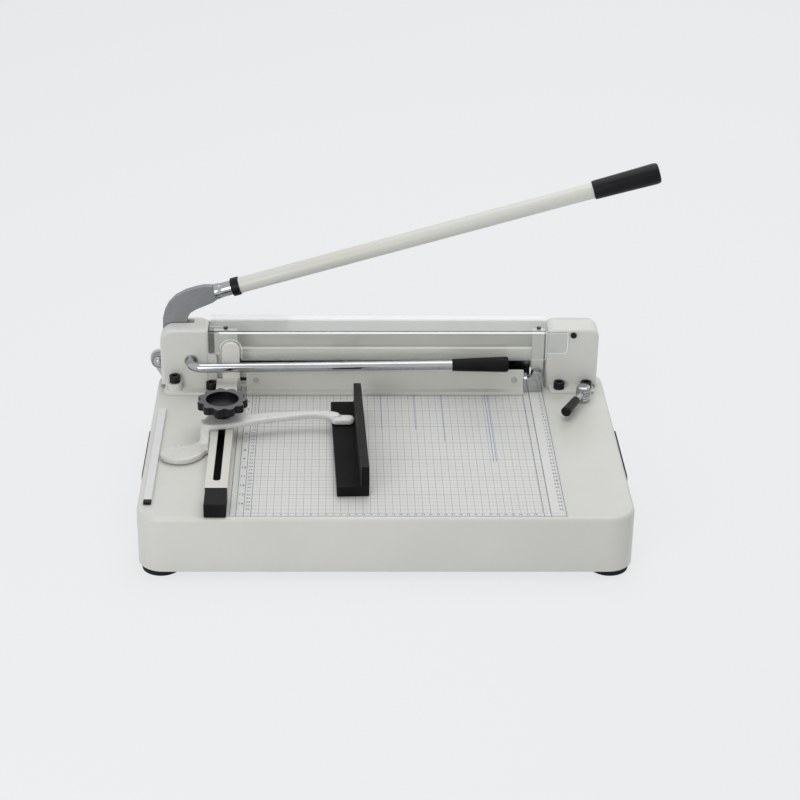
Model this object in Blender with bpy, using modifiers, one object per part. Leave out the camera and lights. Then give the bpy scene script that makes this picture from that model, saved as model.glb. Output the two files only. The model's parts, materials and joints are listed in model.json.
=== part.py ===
"""Manual stack paper cutter.

A painted base box carries a printed squared sheet, a clamp bar worked by a side lever, and a knife
beam that hangs on the main lever and a side link, which keep it level as it drops.
Metres, +Z up. X runs along the knife, Y from the front edge to the back.
"""

import math

import bmesh
import bpy
from mathutils import Matrix, Vector

# Clearances
SEAT_GAP = 0.0003
HOLE_GAP = 0.0003
PLAY = 0.0008
SWING_GAP = 0.0015
OVERRUN = 0.004
WELD = 0.000001

# Smoothness, in sides of a full turn
PIN_SIDES = 24
SCREW_SIDES = 14
TUBE_SIDES = 28
CORNER_STEPS = 6

# Base box, feet and bottom plate
BASE_WIDTH = 0.670
BASE_DEPTH = 0.455
SHELL_HEIGHT = 0.082
SHELL_WALL = 0.002
CORNER_RADIUS = 0.036
EDGE_RADIUS = 0.006
BOTTOM_THICK = 0.002
FOOT_HEIGHT = 0.011
FOOT_RADIUS = 0.028
FOOT_TOE_RADIUS = 0.027
FOOT_INSET_X = 0.0315
FOOT_INSET_Y = 0.033
FOOT_STEM_RADIUS = 0.006
FOOT_STEM_HEIGHT = 0.006

# Carry grips in the side walls
GRIP_FROM_FRONT = 0.124
GRIP_LENGTH = 0.141
GRIP_HEIGHT = 0.036
GRIP_BELOW_TABLE = 0.008
GRIP_DEPTH = 0.024
GRIP_WALL = 0.002
GRIP_LIP = 0.004
GRIP_LIP_THICK = 0.0015
GRIP_LEFT_LIP_THICK = 0.0006
GRIP_CORNER = 0.012

# Printed sheet and side strip
SHEET_THICK = 0.0005
SHEET_FROM_FRONT = 0.0065
SHEET_SIDE_GAP = 0.004
SHEET_END_GAP = 0.002
STRIP_FROM_SIDE = 0.0086
STRIP_WIDTH = 0.0112
STRIP_HEIGHT = 0.004
STRIP_FROM_FRONT = 0.046
STRIP_TO_COVER = 0.050
STRIP_EDGE = 0.0005
PLUG_LENGTH = 0.009
PLUG_INSET = 0.0003

# Knife stack, counted forwards and backwards from the knife's front face
KNIFE_FROM_BACK = 0.050
BLADE_THICK = 0.004
BLADE_HEIGHT = 0.0345
BLADE_BEVEL = 0.0028
BEAM_THICK = 0.008
BEAM_TOP = 0.0565
BEAM_BOTTOM = 0.026
BEAM_END_RADIUS = 0.0095
BEAM_FILLET = 0.006
LEVER_THICK = 0.010
FRAME_THICK = 0.006
CROSS_THICK = 0.006
CROSS_TOP = 0.0885
CROSS_BOTTOM = 0.047
CROSS_OVERLAP = 0.034
CLAMP_TO_KNIFE = 0.001
KNIFE_BOLT_RADIUS = 0.003
KNIFE_BOLT_HEAD_RADIUS = 0.0052
KNIFE_BOLT_HEAD_HEIGHT = 0.004
KNIFE_BOLT_ABOVE_TABLE = 0.033
KNIFE_BOLT_INSET = 0.030
BLADE_SKIN = 0.0008

# Cutting stick and its groove
STICK_WIDTH = 0.010
STICK_DEPTH = 0.012
STICK_BEYOND_KNIFE = 0.005
STICK_TO_POST = 0.0004
GROOVE_WALL = 0.0025

# Covers at the two sides
LEFT_COVER_INSET = 0.007
LEFT_COVER_WIDTH = 0.072
RIGHT_COVER_INSET = 0.012
RIGHT_COVER_WIDTH = 0.077
COVER_TO_KNIFE = 0.014
COVER_HEIGHT = 0.0955
COVER_WALL = 0.0025
COVER_FRONT_WALL = 0.003
COVER_CORNER = 0.020
COVER_SMALL_CORNER = 0.005
COVER_SHOULDER = 0.012
COVER_EDGE = 0.0045
COVER_ROOF_LEFT = 0.022
FLANGE_HEIGHT = 0.004
FLANGE_CORNER = 0.008
LEFT_FLANGE_DEPTH = 0.025
RIGHT_FLANGE_DEPTH = 0.019
RIGHT_FLANGE_INSET = 0.006
BOSS_WIDTH = 0.020
BOSS_DEPTH = 0.021
BOSS_HEIGHT = 0.015
BOSS_INSET = 0.011
COVER_WING_HEIGHT = 0.057
COVER_WING_CORNER = 0.008
COVER_BOLT_HEAD_RADIUS = 0.0083
COVER_BOLT_HEAD_HEIGHT = 0.0105
COVER_BOLT_LOW_HEAD = 0.0062
COVER_BOLT_RADIUS = 0.004
COVER_BOLT_SOCKET_RADIUS = 0.0042
COVER_BOLT_SOCKET_DEPTH = 0.004
COVER_SCREW_HEAD_RADIUS = 0.0046
COVER_SCREW_HEAD_HEIGHT = 0.003
COVER_SCREW_RADIUS = 0.002
COVER_SCREW_LENGTH = 0.012
COVER_SCREW_DROP = 0.0078
COVER_SCREW_FROM_LEFT = 0.0388

# Frame plates behind the covers
LUG_RADIUS = 0.013
LUG_FOOT_INSET = 0.003
FRAME_BEYOND_COVER = 0.020
FRAME_CORNER = 0.014
FRAME_EDGE_INSET = 0.002
FRAME_FOOT_DEPTH = 0.012
FRAME_FOOT_HEIGHT = 0.006
FRAME_FOOT_INSET = 0.012

# Main lever and the parallelogram that it drives
FULCRUM_OUTSET = 0.006
FULCRUM_ABOVE_TABLE = 0.031
CRANK_RADIUS = 0.042
LEVER_DOWN_ANGLE = math.radians(7.0)
LEVER_UP_ANGLE = math.radians(55.0)
LEVER_REST_ANGLE = math.radians(16.2)
LEVER_BOSS_RADIUS = 0.0108
CRANK_BOSS_RADIUS = 0.0125
FULCRUM_PIN_RADIUS = 0.0065
FULCRUM_WASHER_RADIUS = 0.0076
FULCRUM_WASHER_HEIGHT = 0.0011
FULCRUM_DOME_RADIUS = 0.0052
FULCRUM_DOME_HEIGHT = 0.0035
CRANK_PIN_RADIUS = 0.005
CRANK_PIN_HEAD_RADIUS = 0.0085
CRANK_PIN_HEAD_HEIGHT = 0.0032
LINK_RADIUS = 0.0095
LINK_FROM_COVER = 0.011
LINK_THICK = 0.010
ARM_HEIGHT = 0.126
ARM_WIDTH = 0.110
SOCKET_RADIUS = 0.0110
SOCKET_FLARE_RADIUS = 0.0122
SOCKET_FLARE_LENGTH = 0.010
SOCKET_LENGTH = 0.026
SPIGOT_RADIUS = 0.0094
SPIGOT_LENGTH = 0.045
COLLAR_RADIUS = 0.0138
COLLAR_LENGTH = 0.012
TUBE_RADIUS = 0.0118
TUBE_WALL = 0.002
TUBE_LENGTH = 0.626
TUBE_IN_GRIP = 0.078
LEVER_GRIP_LENGTH = 0.098
LEVER_GRIP_MOUTH_RADIUS = 0.0138
LEVER_GRIP_END_RADIUS = 0.0155
LEVER_GRIP_EDGE = 0.003

# Guide posts, clamp bar, shoes and lift plate
LEFT_POST_FROM_COVER = 0.0085
LEFT_POST_WIDTH = 0.0345
RIGHT_POST_FROM_COVER = 0.003
RIGHT_POST_WIDTH = 0.018
CLAMP_TO_RIGHT_COVER = 0.034
CLAMP_FOOT_DEPTH = 0.039
CLAMP_FOOT_HEIGHT = 0.005
CLAMP_LIP_DEPTH = 0.011
CLAMP_WEB_THICK = 0.004
CLAMP_HEIGHT = 0.035
CLAMP_FILLET = 0.003
CLAMP_TRAVEL = 0.0382
SHOE_TONGUE_LENGTH = 0.024
SHOE_TONGUE_HEIGHT = 0.028
SHOE_HEIGHT = 0.019
SHOE_BOSS_RADIUS = 0.0074
SHOE_BOSS_HEIGHT = 0.027
SHOE_TO_RIGHT_COVER = 0.005
SHOE_BOSS_FROM_COVER = 0.0145
CLAMP_SCREW_FROM_END = 0.014
CLAMP_SCREW_ABOVE_TABLE = 0.021
CLAMP_SCREW_HEAD_RADIUS = 0.0042
CLAMP_SCREW_HEAD_HEIGHT = 0.0022
CLAMP_SCREW_RADIUS = 0.002
CLAMP_SCREW_LENGTH = 0.010
LIFT_THICK = 0.003
LIFT_HEIGHT = 0.020
LIFT_BESIDE_SHAFT = 0.0105
LIFT_SLOT_HEIGHT = 0.0084
LIFT_SLOT_MARGIN = 0.0015

# Clamp lever
CLAMP_SHAFT_FROM_LEFT = 0.0455
CLAMP_SHAFT_ABOVE_TABLE = 0.0453
CLAMP_ROD_RADIUS = 0.007
CLAMP_ROD_FORWARD = 0.025
CLAMP_ROD_BEND = 0.018
CLAMP_ROD_REACH = 0.440
CLAMP_ROD_RISE = math.radians(0.75)
CLAMP_BEND_STEPS = 7
CLAMP_ROD_IN_GRIP = 0.0525
CLAMP_GRIP_LENGTH = 0.083
CLAMP_GRIP_MOUTH_RADIUS = 0.0089
CLAMP_GRIP_END_RADIUS = 0.0115
CLAMP_GRIP_EDGE = 0.002
CLAMP_CRANK_RADIUS = 0.027
CLAMP_CRANK_HALF_SWING = math.radians(45.0)
CLAMP_CRANK_THICK = 0.005
CLAMP_CRANK_HUB_RADIUS = 0.0108
CLAMP_CRANK_EYE_RADIUS = 0.006
CLAMP_CRANK_PIN_RADIUS = 0.003
BUSH_FLANGE_RADIUS = 0.0099
BUSH_FLANGE_THICK = 0.0016
BUSH_BODY_RADIUS = 0.0092

# Side rail, its cap and its upright
RAIL_FROM_COVER = 0.012
RAIL_WIDTH = 0.031
RAIL_HEIGHT = 0.020
RAIL_WALL = 0.003
RAIL_CAP_FROM_FRONT = 0.0012
RAIL_CAP_LENGTH = 0.047
RAIL_CAP_EDGE = 0.0015
RAIL_CAP_INSET = 0.0012
RAIL_SLOT_WIDTH = 0.010
RAIL_SLOT_FROM_FRONT = 0.069
RAIL_SLOT_BACK_MARGIN = 0.040
UPRIGHT_SHIFT = 0.008
UPRIGHT_WIDTH = 0.026
UPRIGHT_THICK = 0.0074
UPRIGHT_HEIGHT = 0.078
CLAMP_TO_UPRIGHT = 0.010

# Clear guard
GUARD_THICK = 0.002
GUARD_BOTTOM = 0.048
GUARD_TOP = 0.0935
GUARD_BEND = 0.0045
GUARD_TO_COVER = 0.0012
GUARD_FROM_BACK = 0.005
GUARD_SIDE_GAP = 0.001
GUARD_TAB_WIDTH = 0.031
GUARD_TAB_BOTTOM = 0.0585
GUARD_TAB_TOP = 0.0925
GUARD_ARCH_GAP = 0.003
GUARD_SCREW_RADIUS = 0.0014
GUARD_SCREW_HEAD_RADIUS = 0.0034
GUARD_SCREW_HEAD_HEIGHT = 0.002
GUARD_SCREW_LENGTH = 0.010

# Side gauge
GAUGE_FROM_CLAMP = 0.123
STUD_RADIUS = 0.004
NUT_LENGTH = 0.030
NUT_SIDE_GAP = 0.0008
NUT_HEIGHT = 0.009
ARM_THICK = 0.009
ARM_SPAN_X = 0.275
ARM_SPAN_Y = 0.155
ARM_EDGE = 0.0025
PADDLE_HEIGHT = 0.0095
PADDLE_EDGE = 0.0022
NECK_X0_SHARE = -0.112
NECK_X1_SHARE = -0.062
NECK_TOP_BACK = 0.009
NECK_TOP_FRONT = 0.018
NECK_FOOT_BACK = 0.044
NECK_FOOT_FRONT = 0.064
NECK_STEP = 0.006
FINGER_LENGTH = 0.034
FINGER_WIDTH = 0.019
FINGER_HEIGHT = 0.009
FINGER_REACH = 0.1715
FINGER_BACK = 0.0045
KNOB_RADIUS = 0.0325
KNOB_LOBE = 0.0034
KNOB_LOBES = 11
KNOB_STEPS = 10
KNOB_HEIGHT = 0.0125
KNOB_STEM_RADIUS = 0.0122
KNOB_STEM_HEIGHT = 0.0145
KNOB_RECESS_RADIUS = 0.0235
KNOB_RECESS_DEPTH = 0.008
KNOB_EDGE = 0.0016
KNOB_BORE_DEPTH = 0.015
BLOCK_FROM_FRONT = 0.058
BLOCK_TO_CLAMP = 0.050
BLOCK_WIDTH = 0.044
BLOCK_HEIGHT = 0.045
BLOCK_WALL = 0.011
BLOCK_BASE = 0.015
BLOCK_EDGE = 0.0012
BLOCK_TURN = math.radians(2.0)
BLOCK_SHIFT_X = 0.1805
DOWEL_RADIUS = 0.003
DOWEL_LENGTH = 0.010

# Lock lever on the right
LOCK_HUB_RADIUS = 0.0104
LOCK_HUB_HEIGHT = 0.024
LOCK_HUB_EDGE = 0.0015
LOCK_FROM_COVER = 0.041
LOCK_FROM_RIGHT = 0.0245
LOCK_ARM_RADIUS = 0.0052
LOCK_ARM_HEIGHT = 0.014
LOCK_ARM_LENGTH = 0.030
LOCK_GRIP_RADIUS = 0.0073
LOCK_GRIP_LENGTH = 0.044
LOCK_GRIP_EDGE = 0.0015
LOCK_TURN = math.radians(244.0)
LOCK_STUD_RADIUS = 0.003
LOCK_STUD_DEPTH = 0.012

# Shapes of the two cast arms, as shares of the sizes that they follow
LEVER_OUTER_SHARES = [
    (0.083, 0.488), (0.086, 0.567), (0.115, 0.663), (0.169, 0.754), (0.267, 0.844),
    (0.407, 0.912), (0.548, 0.952), (0.659, 0.972), (0.771, 0.972),
]
LEVER_INNER_SHARES = [
    (0.825, 0.803), (0.764, 0.762), (0.658, 0.722), (0.537, 0.675), (0.457, 0.630),
    (0.420, 0.564), (0.417, 0.490),
]
GAUGE_ARM_SHARES = [
    (-0.113, -0.120), (-0.104, -0.165), (-0.060, -0.190), (0.002, -0.180), (0.064, -0.150),
    (0.134, -0.112), (0.206, -0.066), (0.351, 0.000), (0.440, 0.036), (0.510, 0.036),
    (0.550, 0.008), (0.592, 0.004), (0.612, 0.045), (0.595, 0.092), (0.550, 0.122),
    (0.496, 0.130), (0.386, 0.118), (0.277, 0.098), (0.204, 0.078), (0.136, 0.060),
    (0.075, 0.103), (0.002, 0.135), (-0.064, 0.077), (-0.100, -0.065),
]
PADDLE_SHARES = [
    (-0.306, -0.457), (-0.300, -0.527), (-0.268, -0.587), (-0.215, -0.617), (-0.160, -0.602),
    (-0.112, -0.540), (-0.080, -0.440), (-0.066, -0.330), (-0.070, -0.270), (-0.113, -0.250),
    (-0.136, -0.278), (-0.170, -0.322), (-0.245, -0.340), (-0.288, -0.385),
]

# Other shares
SLOT_END_SHARE = 0.9
FINGER_ROUND_SHARE = 0.45
KNOB_VALLEY_SHARE = 0.25
BOSS_ROUND_SHARE = 0.42
DOME_SHARE = 0.55
BLADE_BEVEL_SLOPE = 2.2

# Finishes: colour, roughness, metallic
CREAM_PAINT = ((0.74, 0.73, 0.67, 1.0), 0.45, 0.0)
PALE_PAINT = ((0.80, 0.79, 0.72, 1.0), 0.45, 0.0)
CAST_CREAM = ((0.82, 0.81, 0.75, 1.0), 0.35, 0.0)
BLACK_PLASTIC = ((0.02, 0.02, 0.022, 1.0), 0.5, 0.0)
BLACK_RUBBER = ((0.015, 0.015, 0.016, 1.0), 0.8, 0.0)
BLACK_STEEL = ((0.03, 0.03, 0.032, 1.0), 0.4, 0.6)
PLATED_STEEL = ((0.62, 0.63, 0.65, 1.0), 0.28, 1.0)
DARK_STEEL = ((0.25, 0.27, 0.29, 1.0), 0.45, 1.0)
KNIFE_STEEL = ((0.16, 0.16, 0.17, 1.0), 0.3, 1.0)
PRINTED_SHEET = ((0.80, 0.80, 0.74, 1.0), 0.6, 0.0)
WHITE_PLASTIC = ((0.85, 0.85, 0.84, 1.0), 0.5, 0.0)
PALE_PLASTIC = ((0.80, 0.79, 0.73, 1.0), 0.5, 0.0)
CLEAR_PLASTIC = ((0.85, 0.90, 0.92, 0.3), 0.1, 0.0)
CUTTER = None

# Places that follow from the sizes
FRONT_Y = -BASE_DEPTH / 2
BACK_Y = BASE_DEPTH / 2
TABLE_Z = FOOT_HEIGHT + SHELL_HEIGHT
FLOOR_Z = TABLE_Z + SEAT_GAP
SHEET_TOP_Z = FLOOR_Z + SHEET_THICK
REST_Z = SHEET_TOP_Z + SEAT_GAP

LEFT_COVER_X0 = -BASE_WIDTH / 2 + LEFT_COVER_INSET
LEFT_COVER_X1 = LEFT_COVER_X0 + LEFT_COVER_WIDTH
RIGHT_COVER_X1 = BASE_WIDTH / 2 - RIGHT_COVER_INSET
RIGHT_COVER_X0 = RIGHT_COVER_X1 - RIGHT_COVER_WIDTH

KNIFE_Y = BACK_Y - KNIFE_FROM_BACK
BEAM_Y0 = KNIFE_Y + BLADE_THICK + SEAT_GAP
BEAM_Y1 = BEAM_Y0 + BEAM_THICK
LEVER_Y0 = BEAM_Y1 + SWING_GAP
LEVER_Y1 = LEVER_Y0 + LEVER_THICK
FRAME_Y0 = LEVER_Y1 + SWING_GAP
FRAME_Y1 = FRAME_Y0 + FRAME_THICK
CROSS_Y0 = FRAME_Y1 + SEAT_GAP
COVER_Y0 = KNIFE_Y - COVER_TO_KNIFE
COVER_Y1 = FRAME_Y0 - SEAT_GAP
LIFT_Y0 = COVER_Y0 + COVER_FRONT_WALL + PLAY
LIFT_Y1 = LIFT_Y0 + LIFT_THICK
POST_Y0 = LIFT_Y1 + SEAT_GAP
POST_Y1 = KNIFE_Y - CLAMP_TO_KNIFE
CLAMP_Y1 = KNIFE_Y - CLAMP_TO_KNIFE
CLAMP_Y0 = CLAMP_Y1 - CLAMP_FOOT_DEPTH
WEB_Y0 = CLAMP_Y0 + CLAMP_LIP_DEPTH
WEB_Y1 = WEB_Y0 + CLAMP_WEB_THICK
SHOE_Y1 = COVER_Y0 - GUARD_TO_COVER - GUARD_THICK - PLAY
LOW_TOP_Z = TABLE_Z + GUARD_BOTTOM - CLAMP_TRAVEL - CLAMP_TO_KNIFE

LEFT_POST_X0 = LEFT_COVER_X1 + LEFT_POST_FROM_COVER
LEFT_POST_X1 = LEFT_POST_X0 + LEFT_POST_WIDTH
RIGHT_POST_X1 = RIGHT_COVER_X0 - RIGHT_POST_FROM_COVER
RIGHT_POST_X0 = RIGHT_POST_X1 - RIGHT_POST_WIDTH
RAIL_X0 = LEFT_COVER_X1 + RAIL_FROM_COVER
RAIL_X1 = RAIL_X0 + RAIL_WIDTH
RAIL_X = (RAIL_X0 + RAIL_X1) / 2
RAIL_TOP_Z = FLOOR_Z + RAIL_HEIGHT
UPRIGHT_X0 = RAIL_X0 + UPRIGHT_SHIFT
UPRIGHT_X1 = UPRIGHT_X0 + UPRIGHT_WIDTH
UPRIGHT_Y1 = COVER_Y0 - SEAT_GAP
UPRIGHT_Y0 = UPRIGHT_Y1 - UPRIGHT_THICK
CLAMP_X0 = UPRIGHT_X1 + CLAMP_TO_UPRIGHT
CLAMP_X1 = RIGHT_COVER_X0 - CLAMP_TO_RIGHT_COVER
GUARD_Y0 = COVER_Y0 - GUARD_TO_COVER - GUARD_THICK
GUARD_Y1 = BACK_Y - GUARD_FROM_BACK
GUARD_X0 = LEFT_COVER_X1 + GUARD_SIDE_GAP
GUARD_X1 = RIGHT_COVER_X0 - GUARD_SIDE_GAP

FULCRUM = Vector((LEFT_COVER_X0 - FULCRUM_OUTSET, (LEVER_Y0 + LEVER_Y1) / 2, TABLE_Z + FULCRUM_ABOVE_TABLE))
CRANK = FULCRUM + Vector((CRANK_RADIUS, 0, 0))
LINK_PIVOT = Vector((RIGHT_COVER_X0 + LINK_FROM_COVER, FULCRUM.y, FULCRUM.z))
LINK_END = LINK_PIVOT + Vector((CRANK_RADIUS, 0, 0))
BEAM_SHIFT = CRANK_RADIUS * (1 - math.cos(LEVER_UP_ANGLE))
BEAM_X0 = LEFT_COVER_X1 + BEAM_SHIFT + SWING_GAP
BEAM_X1 = RIGHT_COVER_X0 - SWING_GAP
BLADE_X0 = LEFT_POST_X1 - SWING_GAP
BLADE_X1 = RIGHT_POST_X0 - SWING_GAP
BLADE_Z0 = TABLE_Z + CRANK_RADIUS * math.sin(LEVER_DOWN_ANGLE) + SEAT_GAP
CLAMP_SHAFT = Vector((LEFT_COVER_X0 + CLAMP_SHAFT_FROM_LEFT, COVER_Y0, TABLE_Z + CLAMP_SHAFT_ABOVE_TABLE))
GAUGE = Vector((RAIL_X, CLAMP_Y0 - GAUGE_FROM_CLAMP, RAIL_TOP_Z + SEAT_GAP))
LOCK = Vector((RIGHT_COVER_X1 - LOCK_FROM_RIGHT, COVER_Y0 - LOCK_FROM_COVER, FLOOR_Z))

FORWARD = Vector((0, -1, 0))
BACKWARD = Vector((0, 1, 0))
UP = Vector((0, 0, 1))
DOWN = Vector((0, 0, -1))
PLANES = {
    "front": Matrix(((1, 0, 0), (0, 0, -1), (0, 1, 0))),
    "top": Matrix.Identity(3),
    "side": Matrix(((0, 0, 1), (1, 0, 0), (0, 1, 0))),
}


def clear_objects():
    for old in list(bpy.data.objects):
        bpy.data.objects.remove(old, do_unlink=True)


def new_collection(name):
    collection = bpy.data.collections.new(name)
    bpy.context.scene.collection.children.link(collection)
    return collection


def axis_empty(name, place, parent=None):
    """A named empty that stands on a joint's axis, unturned."""
    empty = bpy.data.objects.new(name, None)
    empty.empty_display_size = EDGE_RADIUS
    PARTS.objects.link(empty)
    empty["place"] = tuple(place)
    empty.parent = parent
    empty.location = Vector(place) - place_of(parent)
    return empty


def place_of(empty):
    return Vector(empty["place"]) if empty else Vector()


def give_finish(obj, finish):
    color, roughness, metallic = finish
    material = bpy.data.materials.new(f"{obj.name} finish")
    material.use_nodes = True
    shader = material.node_tree.nodes["Principled BSDF"]
    shader.inputs["Base Color"].default_value = color
    shader.inputs["Roughness"].default_value = roughness
    shader.inputs["Metallic"].default_value = metallic
    shader.inputs["Alpha"].default_value = color[-1]
    obj.data.materials.clear()
    obj.data.materials.append(material)


def add(name, data, finish, parent, place):
    """An object at the world point PLACE, hung on PARENT. A cutter goes to the cutters' collection."""
    obj = bpy.data.objects.new(name, data)
    obj.parent = parent
    obj.location = Vector(place) - place_of(parent)
    if finish is CUTTER:
        CUTTERS.objects.link(obj)
        obj.hide_render = True
        obj.display_type = "WIRE"
        return obj
    PARTS.objects.link(obj)
    give_finish(obj, finish)
    return obj


def shade(mesh):
    mesh.shade_smooth()
    mesh.set_sharp_from_angle(angle=math.radians(32))


def round_edges(obj, width, segments=2):
    bevel = obj.modifiers.new("round edges", "BEVEL")
    bevel.width = width
    bevel.segments = segments
    bevel.limit_method = "ANGLE"
    bevel.angle_limit = math.radians(40)
    return obj


def box(name, low, high, finish, parent, edge=0):
    low, high = Vector(low), Vector(high)
    bm = bmesh.new()
    bmesh.ops.create_cube(bm, size=1)
    bmesh.ops.scale(bm, vec=high - low, verts=bm.verts)
    mesh = bpy.data.meshes.new(name)
    bm.to_mesh(mesh)
    bm.free()
    shade(mesh)
    obj = add(name, mesh, finish, parent, (low + high) / 2)
    return round_edges(obj, edge) if edge else obj


def rod(name, start, end, radius, finish, parent, sides=PIN_SIDES, edge=0):
    """A cylinder between two world points."""
    start, end = Vector(start), Vector(end)
    bm = bmesh.new()
    bmesh.ops.create_cone(
        bm, cap_ends=True, segments=sides, radius1=radius, radius2=radius, depth=(end - start).length
    )
    mesh = bpy.data.meshes.new(name)
    bm.to_mesh(mesh)
    bm.free()
    shade(mesh)
    obj = add(name, mesh, finish, parent, (start + end) / 2)
    obj.rotation_euler = UP.rotation_difference(end - start).to_euler()
    return round_edges(obj, edge) if edge else obj


def turned(name, profile, place, axis, finish, parent, sides=PIN_SIDES):
    """A turned piece. PROFILE is (radius, height) down the outer side, with height along AXIS from PLACE."""
    mesh = bpy.data.meshes.new(name)
    points = [(radius, 0, height) for radius, height in profile]
    edges = [(index, index + 1) for index in range(len(points) - 1)]
    closed = profile[0][0] > 0
    if closed:
        edges.append((len(points) - 1, 0))
    mesh.from_pydata(points, edges, [])
    obj = add(name, mesh, finish, parent, place)
    obj.rotation_euler = UP.rotation_difference(Vector(axis)).to_euler()
    screw = obj.modifiers.new("turn", "SCREW")
    screw.steps = sides
    screw.render_steps = sides
    screw.use_merge_vertices = True
    screw.merge_threshold = WELD
    screw.use_smooth_shade = True
    return obj


def evaluated_mesh(obj):
    """The finished mesh of OBJ, which is removed."""
    depsgraph = bpy.context.evaluated_depsgraph_get()
    mesh = bpy.data.meshes.new_from_object(obj.evaluated_get(depsgraph))
    bpy.data.objects.remove(obj, do_unlink=True)
    return mesh


def flat_mesh(name, outline, thickness, holes=()):
    """Mesh of a flat outline, centred on its thickness."""
    curve = bpy.data.curves.new(name, "CURVE")
    curve.dimensions = "2D"
    curve.fill_mode = "BOTH"
    curve.extrude = thickness / 2
    for points in [outline, *holes]:
        spline = curve.splines.new("POLY")
        spline.points.add(len(points) - 1)
        for point, (u, v) in zip(spline.points, points):
            point.co = (u, v, 0, 1)
        spline.use_cyclic_u = True
    guide = bpy.data.objects.new(name, curve)
    bpy.context.scene.collection.objects.link(guide)
    mesh = evaluated_mesh(guide)
    bpy.data.curves.remove(curve)
    bm = bmesh.new()
    bm.from_mesh(mesh)
    bmesh.ops.remove_doubles(bm, verts=bm.verts, dist=WELD)
    bmesh.ops.recalc_face_normals(bm, faces=bm.faces)
    if not holes:
        bmesh.ops.dissolve_limit(bm, angle_limit=math.radians(1), verts=bm.verts, edges=bm.edges)
    bm.to_mesh(mesh)
    bm.free()
    mesh.name = name
    shade(mesh)
    return mesh


def flat(name, outline, plane, level, thickness, finish, parent, holes=(), edge=0):
    """A plate of a flat outline. It faces the front, top or side, and LEVEL is its lowest Y, Z or X."""
    middle_u = (min(u for u, v in outline) + max(u for u, v in outline)) / 2
    middle_v = (min(v for u, v in outline) + max(v for u, v in outline)) / 2
    moved = [[(u - middle_u, v - middle_v) for u, v in points] for points in [outline, *holes]]
    turn = PLANES[plane]
    depth = level + thickness / 2
    offset = -depth if plane == "front" else depth
    place = turn @ Vector((middle_u, middle_v, offset))
    obj = add(name, flat_mesh(name, moved[0], thickness, moved[1:]), finish, parent, place)
    obj.rotation_euler = turn.to_euler()
    return round_edges(obj, edge) if edge else obj


def round_rim(plate, width, foot=True):
    """Rounds the edges of a plate's upper or forward face, with or without the lowest one."""
    bm = bmesh.new()
    bm.from_mesh(plate.data)
    rim = [edge for edge in bm.edges if all(vert.co.z > 0 for vert in edge.verts)]
    if not foot:
        lowest = min(vert.co.y for vert in bm.verts) + WELD
        rim = [edge for edge in rim if any(vert.co.y > lowest for vert in edge.verts)]
    bmesh.ops.bevel(bm, geom=rim, offset=width, segments=3, profile=0.5, affect="EDGES")
    bm.to_mesh(plate.data)
    bm.free()
    shade(plate.data)


def arc(u, v, radius, start, end, steps):
    """Points of an arc about (u, v), with its angles in degrees."""
    angles = [math.radians(start + (end - start) * step / steps) for step in range(steps + 1)]
    return [(u + radius * math.cos(angle), v + radius * math.sin(angle)) for angle in angles]


def circle(u, v, radius, sides=PIN_SIDES):
    return arc(u, v, radius, 0, 360, sides)[:-1]


def rounded(low, high, radii, steps=CORNER_STEPS):
    """A rectangle whose corners, from low left and anticlockwise, have their own radii."""
    (u0, v0), (u1, v1) = low, high
    corners = [(u0, v0, 1, 1, 180), (u1, v0, -1, 1, 270), (u1, v1, -1, -1, 0), (u0, v1, 1, -1, 90)]
    points = []
    for (u, v, side_u, side_v, start), radius in zip(corners, radii):
        if radius:
            points += arc(u + side_u * radius, v + side_v * radius, radius, start, start + 90, steps)
        else:
            points.append((u, v))
    return points


def smooth(points, steps=3):
    """A closed smooth curve through POINTS."""
    result = []
    count = len(points)
    for index in range(count):
        before, start, end, after = (Vector(points[(index + shift) % count]) for shift in (-1, 0, 1, 2))
        for step in range(steps):
            t = step / steps
            place = start * 2 + (end - before) * t
            place += (before * 2 - start * 5 + end * 4 - after) * t**2
            place += (start * 3 - before - end * 3 + after) * t**3
            result.append(tuple(place / 2))
    return result


def boolean(target, tool, operation):
    step = target.modifiers.new(tool.name, "BOOLEAN")
    step.operation = operation
    step.object = tool
    return target


def cut(target, *tools):
    for tool in tools:
        boolean(target, tool, "DIFFERENCE")
    return target


def join(target, *tools):
    for tool in tools:
        boolean(target, tool, "UNION")
    return target


def drill(target, name, place, axis, radius, length, sides=SCREW_SIDES):
    """A round hole from PLACE along AXIS, opened behind its start by the overrun."""
    axis = Vector(axis)
    start = Vector(place) - axis * OVERRUN
    end = Vector(place) + axis * length
    tool = rod(f"{target.name} {name}", start, end, radius, CUTTER, target.parent, sides)
    return cut(target, tool)


def screw_profile(head_radius, head_height, radius, length, socket_radius=0, socket_depth=0):
    """Outline of a cap screw whose head sits at height zero, down from the top of the head."""
    profile = [(head_radius, head_height), (head_radius, 0), (radius, 0), (radius, -length), (0, -length)]
    if socket_radius:
        floor = head_height - socket_depth
        return [(0, floor), (socket_radius, floor), (socket_radius, head_height), *profile]
    return [(0, head_height), *profile]


def screws(names, profile, places, axis, finish, parent, sides=SCREW_SIDES):
    """One screw at each place, with its head towards AXIS."""
    for name, place in zip(names, places):
        turned(name, profile, place, axis, finish, parent, sides)


def foot_places():
    x = BASE_WIDTH / 2 - FOOT_INSET_X
    y = BASE_DEPTH / 2 - FOOT_INSET_Y
    return {"front_left": (-x, -y), "front_right": (x, -y), "rear_left": (-x, y), "rear_right": (x, y)}


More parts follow.
